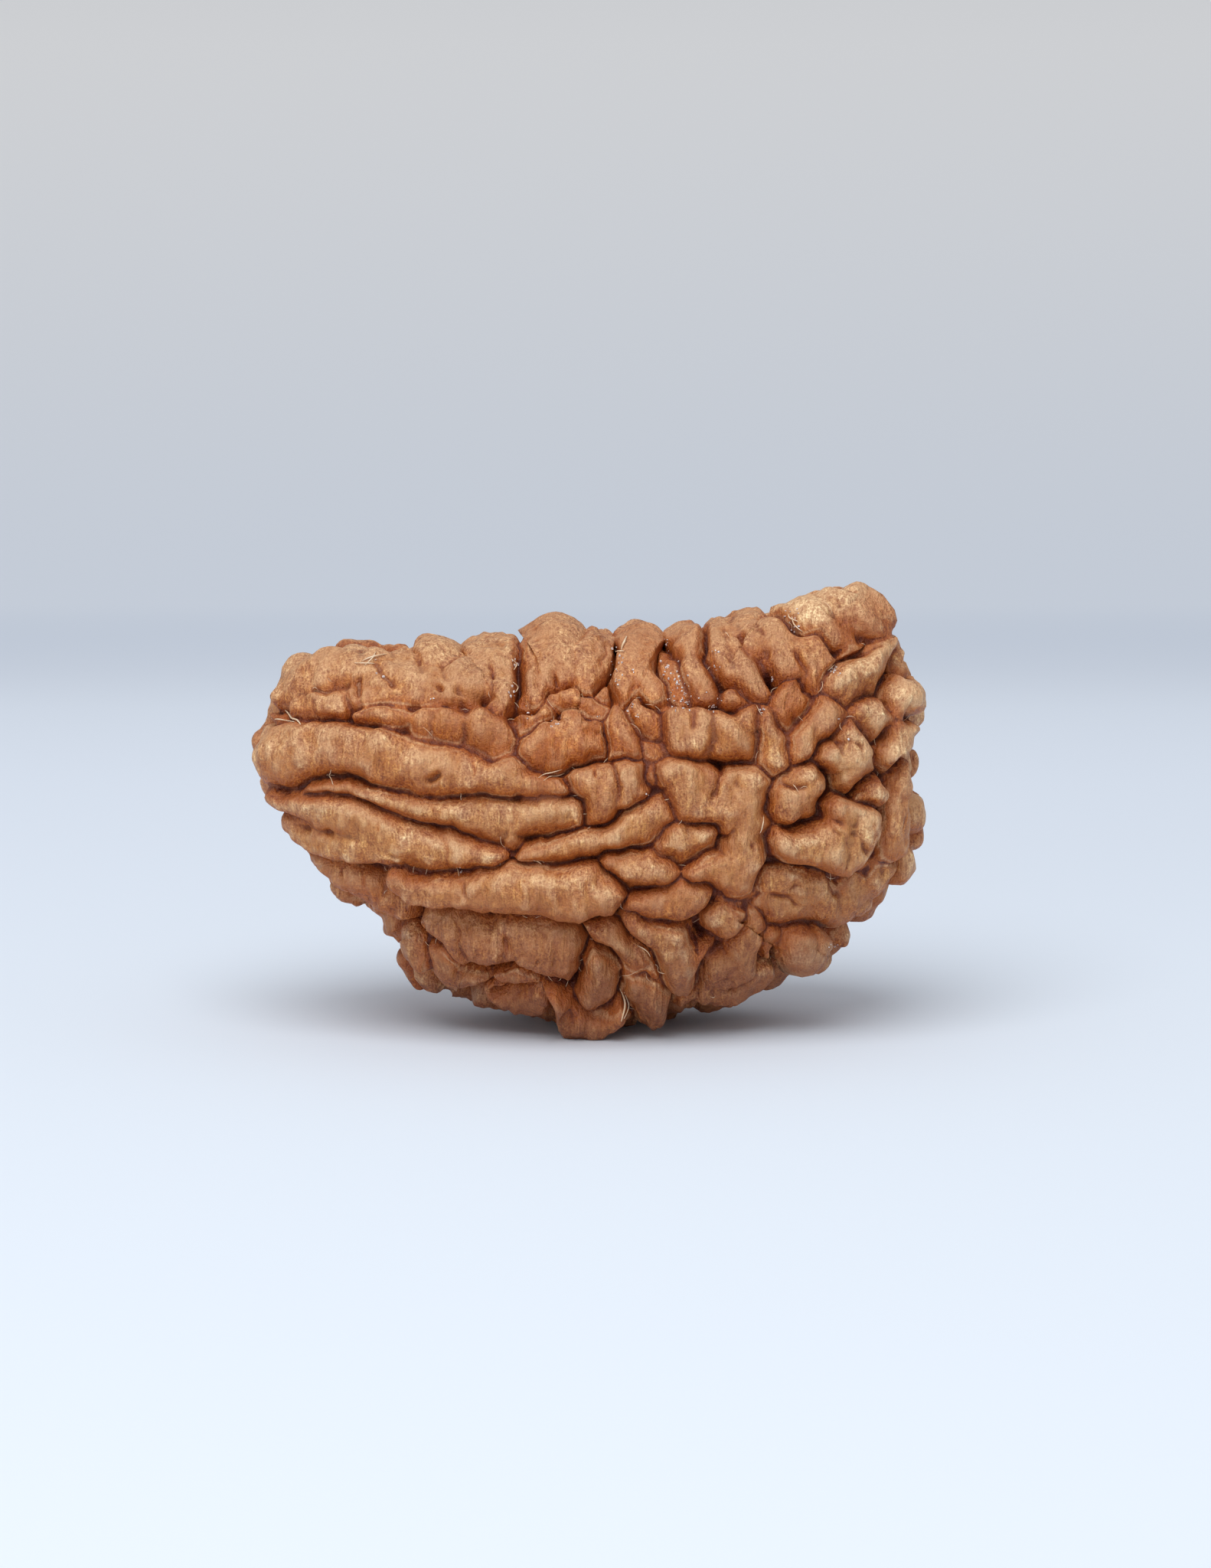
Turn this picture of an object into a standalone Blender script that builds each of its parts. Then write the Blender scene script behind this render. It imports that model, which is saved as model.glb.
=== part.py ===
# A rudraksha seed of the half-moon kind: one hard, deeply wrinkled stone. It stands on the low
# folds of its curved edge. The straight edge is up and rises to a knob at its right end.
# The stone is one solid. It begins as a round body with the half-moon outline, and each fold is
# a tapered stroke laid on that body. Where two folds meet, the surface drops into a groove.

import math

import bmesh
import bpy
import numpy as np

# Sizes, in millimetres until the solid is scaled to metres
MM = 0.001
HEART = (0.3, 9.4)  # middle of the outline, across and up
FACE_DEPTH = 5.4  # from the middle of the body to its face
BACK_DEPTH = 5.0  # from the middle of the body to its back
SLANT = 0.1  # how much the body leans away towards its foot
LEAN = math.radians(11.0)  # the strokes are drawn as seen from this much above
GROW = 0.22  # how far a fold spreads past its stroke when nothing is in the way
BLEND = 0.12  # width over which the height of one fold turns into the next
GROOVE = 1.3  # deepest groove between two folds
OFFSET = (-0.06, -1.3, -0.5)  # puts the middle of the bottom at the origin
CUTS = 120  # rows of faces on each side of the ball that the body is made from
TRIANGLES = 11300  # triangles left after thinning out
SEED = 7

# Outline of the body under the folds: across and up, clockwise from the tip
OUTLINE = [
    (-12.85, 11.1), (-12.7, 12.0), (-12.3, 12.9), (-11.8, 13.95), (-11.25, 14.8), (-10.6, 15.05),
    (-9.6, 15.2),
    (-8.3, 15.1), (-7.2, 15.05), (-6.2, 15.4), (-5.15, 14.75), (-4.3, 15.15), (-3.2, 15.35), (-2.2, 15.3),
    (-1.15, 15.95), (-0.7, 15.75), (-0.6, 15.1), (0.3, 15.4), (1.1, 15.1), (2.2, 15.5), (3.1, 15.1),
    (4.1, 15.6),
    (5.2, 15.75), (6.3, 15.95), (7.6, 16.2), (8.6, 16.75), (10.1, 17.2), (11.3, 17.15), (11.75, 17.1),
    (11.6, 16.2),
    (12.0, 14.9), (12.85, 13.6), (12.75, 12.5), (12.45, 11.7), (12.6, 10.8), (12.6, 9.8), (12.95, 8.6),
    (12.6, 7.5), (11.4, 6.1), (10.5, 5.2), (9.9, 4.6), (9.3, 3.7), (8.85, 3.15), (8.1, 3.65), (7.3, 2.75),
    (6.3, 2.0), (4.2, 1.85), (2.4, 1.35), (0.2, 0.9), (-1.2, 1.5), (-2.5, 1.6), (-3.8, 1.9), (-5.2, 2.5),
    (-6.2, 2.5), (-6.9, 3.2), (-6.95, 4.1), (-7.4, 4.8), (-8.6, 5.9), (-9.9, 6.4), (-10.35, 7.4),
    (-11.2, 8.7), (-11.9, 9.7), (-12.5, 10.5),
]

# The folds of the face. Each has a height over the body, how round its top is (0 flat, 1 round),
# and strokes of (across, up, half width).
FOLDS = {
    # matted shoulder above the tip, with a terrace along its foot
    "shoulder": (0.9, 0.45, [[(-12.2, 13.5, 0.6), (-11.6, 14.2, 0.85), (-10.6, 14.7, 1.0),
        (-9.4, 14.9, 1.0),
                              (-8.4, 15.0, 0.9), (-7.4, 14.9, 0.85)],
                             [(-10.4, 15.6, 0.6), (-9.2, 15.8, 0.6), (-8.0, 15.7, 0.55)],
                             [(-7.2, 14.6, 0.7), (-6.6, 15.0, 0.85), (-6.3, 15.6, 0.75),
                             (-6.2, 16.6, 0.7)],
                             [(-9.0, 14.3, 0.6), (-7.6, 14.1, 0.7), (-6.4, 14.1, 0.7), (-5.6, 14.1, 0.7)],
                             [(-4.3, 16.6, 0.7), (-4.3, 15.5, 0.8), (-4.4, 14.6, 0.9), (-4.5, 14.0, 0.8)],
                             [(-3.6, 15.8, 0.5), (-3.5, 14.8, 0.48), (-3.5, 13.9, 0.5), (-3.5, 13.4, 0.4)],
                             [(-5.2, 14.9, 0.6), (-5.3, 14.4, 0.7)],
                             [(-11.4, 13.3, 0.42), (-10.6, 13.4, 0.5), (-9.9, 13.4, 0.45)],
                             [(-9.2, 13.6, 0.4), (-8.0, 13.6, 0.4), (-6.5, 13.5, 0.4),
                             (-5.0, 13.4, 0.4)]]),
    # two faces under the shoulder whose upper edge stands out
    "terrace": (0.95, 0.35, [[(-9.1, 12.95, 0.35), (-8.4, 12.85, 0.5), (-7.5, 12.75, 0.5)],
                             [(-6.5, 12.5, 0.55), (-5.5, 12.4, 0.68), (-4.6, 12.25, 0.75),
                             (-3.7, 12.0, 0.6)]]),
    "tip_fold": (0.7, 0.6, [[(-12.5, 12.9, 0.22), (-12.1, 13.0, 0.25)]]),
    # long folds fanning out of the tip
    "brow": (1.25, 0.45, [[(-12.9, 11.5, 0.8), (-12.0, 11.55, 0.92), (-11.0, 11.7, 1.0),
        (-10.0, 11.75, 1.02),
                          (-9.0, 11.6, 1.02), (-8.0, 11.25, 0.98), (-7.0, 11.1, 0.98), (-6.0, 10.92, 0.95),
                          (-5.0, 10.72, 0.92), (-4.0, 10.6, 0.86), (-3.0, 10.4, 0.75), (-2.3, 10.25, 0.55),
                          (-1.6, 10.15, 0.42), (-0.95, 10.15, 0.35)]]),
    "lash": (1.0, 0.7, [[(-11.2, 10.5, 0.1), (-10.0, 10.38, 0.24), (-9.0, 10.1, 0.32), (-8.0, 9.8, 0.42),
                          (-7.0, 9.45, 0.5), (-6.0, 9.22, 0.58), (-5.0, 9.1, 0.62), (-4.0, 8.95, 0.75),
                          (-3.0, 8.95, 0.85), (-2.0, 9.1, 0.95), (-1.2, 9.3, 0.75), (-0.6, 9.3, 0.5)],
                         [(-3.0, 8.9, 0.8), (-2.95, 8.35, 0.45)]]),
    "cheek": (1.3, 0.7, [[(-12.4, 10.15, 0.2), (-11.2, 9.8, 0.42), (-10.0, 9.35, 0.6), (-9.0, 8.85, 0.75),
                           (-8.0, 8.4, 0.85), (-7.0, 8.12, 0.88), (-6.0, 7.9, 0.85), (-5.0, 7.75, 0.76),
                           (-4.2, 7.65, 0.56), (-3.7, 7.6, 0.34)],
                          [(-11.9, 9.15, 0.15), (-11.2, 8.75, 0.38), (-10.4, 8.35, 0.52), (-9.4, 8.1, 0.6),
                           (-8.4, 7.95, 0.55), (-7.4, 7.8, 0.5)]]),
    "edge_fold": (0.45, 0.9, [[(-12.9, 9.95, 0.16), (-12.4, 9.2, 0.2), (-11.8, 8.5, 0.22),
        (-11.3, 7.7, 0.25)]]),
    "lip": (1.7, 0.6, [[(-7.7, 7.0, 0.22), (-7.0, 6.65, 0.4), (-6.3, 6.35, 0.52), (-5.5, 6.15, 0.7),
                        (-4.8, 6.02, 0.8), (-4.0, 6.0, 0.92), (-3.0, 6.05, 1.0), (-2.0, 6.0, 0.98),
                        (-1.0, 5.9, 0.98), (0.0, 5.85, 0.98), (0.7, 5.95, 0.78), (1.3, 6.1, 0.35)]]),
    "jaw": (0.95, 0.7, [[(-10.9, 7.5, 0.4), (-10.2, 7.0, 0.55), (-9.4, 6.6, 0.7), (-8.6, 6.15, 0.85),
                         (-7.9, 5.7, 0.95), (-7.35, 5.4, 0.8)]]),
    "jaw_mid": (1.05, 0.7, [[(-6.1, 4.9, 0.7), (-5.4, 4.45, 0.9), (-4.6, 4.1, 1.0), (-3.8, 3.95, 1.0),
        (-3.2, 4.15, 0.9)],
                             [(-3.2, 4.4, 0.75), (-2.2, 4.2, 0.85), (-1.2, 4.0, 0.9), (-0.8, 3.7, 0.9)],
                             [(-2.3, 3.5, 0.6), (-1.6, 3.25, 0.95), (-1.1, 3.1, 0.98)]]),
    "jaw_under": (0.6, 0.8, [[(-10.3, 6.2, 0.28), (-9.8, 5.95, 0.28), (-9.2, 5.6, 0.28),
        (-8.6, 5.3, 0.28)]]),
    "chip": (0.75, 0.6, [[(-3.3, 2.75, 0.3), (-2.8, 2.7, 0.34), (-2.3, 2.7, 0.28)]]),
    "heel_a": (0.95, 0.7, [[(-7.0, 4.1, 0.55), (-6.95, 3.3, 0.72), (-6.6, 2.9, 0.5)]]),
    "heel_b": (0.9, 0.7, [[(-5.8, 3.2, 0.55), (-5.8, 2.4, 0.72), (-4.9, 2.4, 0.7), (-4.3, 2.6, 0.5)]]),
    "heel_c": (0.8, 0.7, [[(-3.7, 2.15, 0.4)]]),
    "heel_d": (0.95, 0.7, [[(-3.9, 1.7, 0.5), (-3.2, 1.5, 0.65), (-2.3, 1.5, 0.65), (-1.9, 1.9, 0.5)]]),
    "foot": (1.75, 0.8, [[(-1.5, 2.0, 0.4), (-1.0, 1.3, 0.5), (-0.4, 0.8, 0.65), (0.2, 0.6, 0.75),
                          (0.9, 0.8, 0.5), (1.1, 1.2, 0.3)]]),
    "toe": (1.35, 0.7, [[(0.4, 3.2, 0.6), (0.45, 2.5, 0.8), (0.4, 1.7, 0.65), (0.3, 1.2, 0.4)]]),
    # strands that run down and to the right
    "strand_a": (1.15, 0.8, [[(0.3, 4.4, 0.45), (1.0, 4.1, 0.6), (1.7, 3.6, 0.6), (2.3, 3.1, 0.5),
        (2.7, 2.7, 0.35)]]),
    "strand_b": (1.4, 0.85, [[(2.0, 5.0, 0.35), (2.5, 4.5, 0.55), (3.0, 4.1, 0.62), (3.5, 3.6, 0.72),
                              (3.9, 3.0, 0.75), (4.0, 2.45, 0.68)]]),
    "strand_c": (1.4, 0.7, [[(2.3, 2.3, 0.7), (2.4, 1.7, 0.85), (2.4, 1.1, 0.75)]]),
    "grain": (0.95, 0.9, [[(1.6, 1.1, 0.33)]]),
    "apron": (0.75, 0.45, [[(4.0, 1.8, 0.6), (4.8, 2.0, 0.9), (5.6, 2.6, 1.1), (6.3, 3.0, 0.8)],
                          [(5.6, 1.9, 0.7), (6.5, 2.1, 0.7), (7.0, 2.6, 0.6)],
                          [(6.8, 4.9, 0.5), (6.4, 3.9, 0.6), (6.2, 3.2, 0.7)]]),
    "bud": (1.05, 0.85, [[(5.4, 4.9, 0.55), (5.75, 4.7, 0.55)]]),
    "pleat": (0.6, 0.7, [[(7.5, 4.3, 0.35), (7.3, 3.5, 0.35)]]),
    "spur": (1.2, 0.8, [[(8.5, 3.9, 0.7), (8.95, 3.2, 0.82), (9.5, 3.8, 0.75)]]),
    "chin": (0.65, 0.5, [[(7.3, 5.4, 0.65), (8.4, 5.4, 0.85), (9.3, 5.3, 0.8), (10.1, 4.9, 0.7)],
                         [(7.5, 6.4, 0.55), (8.7, 6.4, 0.6), (9.3, 5.9, 0.6)],
                         [(10.6, 6.2, 0.55), (11.2, 5.9, 0.65), (11.9, 6.9, 0.65)], [(10.4, 5.6, 0.6),
                         (11.0, 5.5, 0.6)]]),
    # middle of the face
    "bone": (1.1, 0.9, [[(-2.5, 7.6, 0.22), (-1.8, 7.65, 0.45), (-1.0, 7.75, 0.58), (0.0, 7.85, 0.6),
                         (0.8, 8.1, 0.5), (1.5, 8.4, 0.52), (2.2, 8.75, 0.66), (2.8, 9.0, 0.6)]]),
    "loaf": (1.25, 0.9, [[(0.9, 7.05, 0.3), (1.7, 6.9, 0.62), (2.5, 6.9, 0.75), (3.2, 6.75, 0.45)]]),
    "heart": (1.3, 0.9, [[(1.9, 5.55, 0.25), (2.6, 5.45, 0.5), (3.3, 5.4, 0.65), (3.9, 5.6, 0.75),
        (4.2, 6.1, 0.6)]]),
    "block_a": (1.2, 0.4, [[(-0.4, 10.5, 0.6), (0.3, 10.5, 0.8)], [(0.55, 10.6, 0.75), (0.6, 10.0, 0.8),
        (0.6, 9.5, 0.75)],
                           [(1.2, 10.6, 0.6), (1.75, 10.6, 0.62), (1.7, 10.1, 0.6), (1.6, 9.8, 0.5)]]),
    "block_c": (0.75, 0.6, [[(2.45, 10.6, 0.3)]]),
    "pillar": (1.3, 0.5, [[(6.2, 10.25, 0.82), (6.25, 9.5, 0.88), (6.2, 8.5, 0.88), (6.15, 7.5, 0.88),
        (6.1, 6.9, 0.82)],
                          [(4.3, 6.9, 0.25), (5.0, 7.0, 0.5), (5.8, 6.9, 0.65)], [(5.6, 9.3, 0.6),
                          (5.5, 8.6, 0.5)],
                          [(3.05, 10.6, 0.4), (3.6, 10.8, 0.66), (4.2, 10.4, 0.75), (4.7, 10.1, 0.65),
                          (5.2, 10.0, 0.6)],
                          [(3.75, 10.0, 0.62), (4.4, 9.6, 0.75), (5.0, 9.4, 0.75)]]),
    "egg": (1.2, 0.9, [[(3.65, 8.05, 0.78), (4.3, 8.15, 0.65), (4.9, 8.3, 0.42)]]),
    # the row of teeth
    "tooth_ab": (1.15, 0.4, [[(-2.0, 11.9, 0.6), (-1.9, 11.4, 0.65), (-1.2, 11.8, 0.75)],
                             [(-1.2, 11.7, 0.8), (-0.3, 11.9, 0.85), (0.3, 11.9, 0.75)],
                             [(-0.5, 12.8, 0.35), (-0.4, 12.3, 0.6)], [(0.4, 12.3, 0.45),
                             (0.45, 11.8, 0.45)]]),
    "tooth_c": (1.15, 0.35, [[(1.2, 12.9, 0.32), (1.3, 12.4, 0.45), (1.3, 11.8, 0.5)],
        [(1.6, 12.45, 0.45), (1.75, 11.9, 0.5)]]),
    "tooth_d": (0.85, 0.5, [[(2.15, 13.2, 0.25), (2.5, 12.7, 0.5), (2.8, 12.3, 0.45)]]),
    "tooth_e": (0.65, 0.8, [[(2.6, 11.7, 0.3), (3.0, 11.6, 0.3)]]),
    "tooth_fg": (1.25, 0.5, [[(3.8, 12.6, 0.45), (3.8, 11.9, 0.5)], [(4.4, 12.5, 0.55), (4.4, 11.9, 0.6)],
                             [(5.5, 12.2, 0.8), (6.1, 12.1, 0.92)], [(6.5, 12.7, 0.5), (6.4, 12.4, 0.5)],
                             [(4.9, 12.2, 0.75), (5.4, 12.1, 0.8)]]),
    "tooth_h": (1.2, 0.8, [[(7.0, 12.8, 0.3), (7.3, 12.3, 0.42), (7.4, 11.8, 0.55), (7.3, 11.3, 0.5)]]),
    "tooth_i": (1.25, 0.8, [[(8.35, 11.65, 0.36), (8.75, 12.2, 0.42), (9.2, 12.7, 0.44),
        (9.65, 13.15, 0.46)]]),
    "wedge": (0.95, 0.3, [[(8.1, 13.4, 0.72)], [(8.0, 14.1, 0.18), (8.0, 13.7, 0.45)],
        [(7.9, 13.0, 0.5)]]),
    "arch": (0.85, 0.5, [[(5.85, 13.5, 0.46), (5.8, 13.75, 0.36)]]),
    "triangle": (0.75, 0.4, [[(0.65, 14.05, 0.2), (0.55, 13.8, 0.38)]]),
    "sill": (0.8, 0.5, [[(-1.3, 13.6, 0.32), (-0.8, 13.7, 0.42), (-0.1, 13.4, 0.42), (0.5, 13.2, 0.3)]]),
    "sill_low": (0.75, 0.5, [[(-2.45, 12.6, 0.4), (-2.1, 12.85, 0.4), (-1.7, 13.1, 0.3)]]),
    # plates of the upper edge, parted by slots
    "plate_b": (0.95, 0.2, [[(-2.1, 16.6, 0.6), (-2.1, 15.5, 0.65), (-2.1, 14.6, 0.7), (-2.3, 13.8, 0.45),
        (-2.35, 13.4, 0.3)],
                            [(-1.3, 17.2, 0.45), (-1.25, 16.1, 0.5), (-1.25, 15.2, 0.65),
                            (-1.3, 14.6, 0.6)],
                            [(0.3, 17.0, 0.65), (0.3, 15.9, 0.7), (0.1, 15.2, 0.75), (0.0, 14.5, 0.55),
                            (-0.1, 14.0, 0.3)],
                            [(-1.0, 15.3, 0.6), (-0.4, 15.3, 0.7)]]),
    "plate_c": (1.05, 0.2, [[(2.35, 17.0, 0.6), (2.35, 16.0, 0.65), (2.3, 15.3, 0.72), (2.25, 14.7, 0.8)],
                           [(1.75, 14.4, 0.5), (1.75, 13.8, 0.45)], [(2.7, 14.3, 0.42),
                           (3.0, 13.7, 0.3)]]),
    "gap_floor": (0.6, 0.3, [[(3.45, 16.4, 0.3), (3.5, 15.2, 0.35), (3.7, 14.3, 0.36),
        (3.9, 13.7, 0.33)]]),
    "plate_d": (1.05, 0.25, [[(4.3, 17.2, 0.7), (4.3, 16.2, 0.62), (4.4, 15.5, 0.55), (4.55, 14.8, 0.48),
        (4.7, 13.8, 0.48)]]),
    "plate_e": (1.05, 0.25, [[(5.85, 17.3, 0.6), (5.85, 16.2, 0.6), (6.0, 15.4, 0.68), (6.4, 14.6, 0.72),
        (6.75, 13.9, 0.45)],
                             [(7.1, 17.5, 0.65), (7.1, 16.5, 0.7), (7.1, 15.7, 0.65)],
                             [(7.9, 16.2, 0.6), (7.95, 15.4, 0.65), (8.0, 14.9, 0.45)],
                             [(8.8, 15.4, 0.6), (9.3, 15.3, 0.5), (9.1, 14.7, 0.5), (8.95, 14.2, 0.35)]]),
    # crown knob and the pebbles of the right end
    "crown": (1.25, 0.4, [[(8.6, 16.7, 0.62), (9.3, 16.8, 0.95), (10.2, 17.1, 1.0), (11.1, 17.4, 0.65),
        (11.7, 17.5, 0.4)],
                         [(9.5, 16.4, 0.6), (9.9, 16.1, 0.4)], [(9.3, 18.0, 0.9), (10.5, 18.3, 0.9),
                         (11.5, 18.0, 0.6)],
                         [(10.4, 16.7, 0.6), (11.2, 16.8, 0.6)], [(8.4, 17.4, 0.6), (8.9, 17.6, 0.6)]]),
    "ear": (1.35, 0.7, [[(10.1, 14.2, 0.62), (10.8, 14.35, 0.95), (11.3, 14.9, 0.98), (11.5, 15.6, 0.78),
        (11.6, 16.3, 0.6)]]),
    "ear_in": (1.05, 0.8, [[(10.3, 15.7, 0.33), (10.75, 15.95, 0.42), (11.0, 16.25, 0.4)]]),
    "ear_back": (0.75, 0.8, [[(12.0, 16.2, 0.35), (12.3, 15.5, 0.4), (12.4, 14.8, 0.4)]]),
    "pebble_a": (1.3, 0.85, [[(12.6, 13.95, 0.8), (12.95, 13.65, 0.82)]]),
    "pebble_b": (1.25, 0.85, [[(12.9, 12.4, 0.6), (12.6, 12.1, 0.8), (12.1, 11.7, 0.7)]]),
    "pebble_c": (1.1, 0.9, [[(10.8, 13.15, 0.42), (11.4, 13.1, 0.62), (11.45, 12.75, 0.55)]]),
    "pebble_d": (1.35, 0.75, [[(10.4, 12.25, 0.48), (10.5, 11.6, 0.88), (10.55, 10.95, 0.82)],
        [(9.55, 11.55, 0.42), (10.1, 11.3, 0.6)]]),
    "pebble_e": (1.15, 0.8, [[(11.1, 10.2, 0.4), (11.45, 9.85, 0.46)]]),
    "pebble_f": (1.3, 0.8, [[(8.7, 10.7, 0.55), (8.6, 10.0, 0.98), (8.0, 9.6, 0.78)]]),
    "fist": (1.55, 0.65, [[(7.6, 8.15, 0.5), (8.3, 8.0, 0.66), (9.1, 8.0, 0.78), (10.0, 7.85, 0.8),
        (10.7, 7.9, 0.8), (11.0, 8.4, 0.66)],
                        [(10.0, 9.5, 0.42), (10.5, 9.2, 0.5), (11.0, 8.9, 0.6)], [(10.1, 8.8, 0.5),
                        (10.7, 8.5, 0.7)]]),
    "rim": (0.95, 0.7, [[(12.6, 11.2, 0.55), (12.6, 10.4, 0.7), (12.5, 9.7, 0.78), (12.6, 8.8, 0.8),
        (12.5, 8.0, 0.75)]]),
}

# Folds whose upper edge stands out further than their lower edge, or the other way round
TILTS = {"brow": 0.1, "lip": -0.08, "jaw_mid": -0.12, "block_a": 0.12, "tooth_ab": 0.2, "tooth_c": 0.2,
         "terrace": 0.3, "sill": 0.1, "tooth_fg": 0.1, "wedge": 0.15, "plate_b": 0.14, "plate_c": 0.12,
         "plate_d": 0.12, "plate_e": 0.14}

# Places where two folds have grown together, so that the groove between them fades: across, up
# and how far this reaches
GROWN_TOGETHER = [
    (-1.7, 9.85, 0.8), (6.0, 5.95, 0.85), (11.6, 16.6, 0.7), (7.0, 5.7, 0.5), (11.4, 6.9, 0.5),
    (12.0, 7.3, 0.6),
    (-2.9, 16.0, 0.45), (-7.0, 15.9, 0.5), (-7.8, 15.9, 0.6), (2.6, 11.5, 0.45), (10.3, 16.1, 0.45),
    (9.3, 16.0, 0.5), (4.9, 3.6, 0.5), (-3.6, 15.4, 0.4), (-12.4, 10.2, 0.5), (1.8, 3.0, 0.4),
    (7.4, 4.0, 0.5), (-5.3, 3.6, 0.5), (-8.6, 13.3, 0.5), (-7.6, 13.2, 0.5), (-6.2, 13.1, 0.6),
    (-5.0, 13.0, 0.6),
    (-4.0, 12.8, 0.6), (-3.3, 12.4, 0.5), (-6.6, 12.05, 0.7), (-5.4, 11.8, 0.7), (-4.3, 11.55, 0.7),
    (-3.4, 11.4, 0.5),
    (-7.9, 12.3, 0.5), (12.2, 12.9, 0.5), (11.9, 16.0, 0.6), (0.3, 13.4, 0.6), (-1.7, 13.3, 0.5),
    (-2.0, 12.4, 0.4),
]

# Two low folds at the back of the foot. With the foot itself they carry the stone.
REAR = {
    "rear_foot_left": (1.15, 0.9, [[(-1.2, 0.9, 0.9), (-1.2, 1.6, 0.9)]]),
    "rear_foot_right": (1.3, 0.9, [[(3.0, 1.0, 0.9), (3.0, 1.8, 0.9)]]),
}

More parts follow.
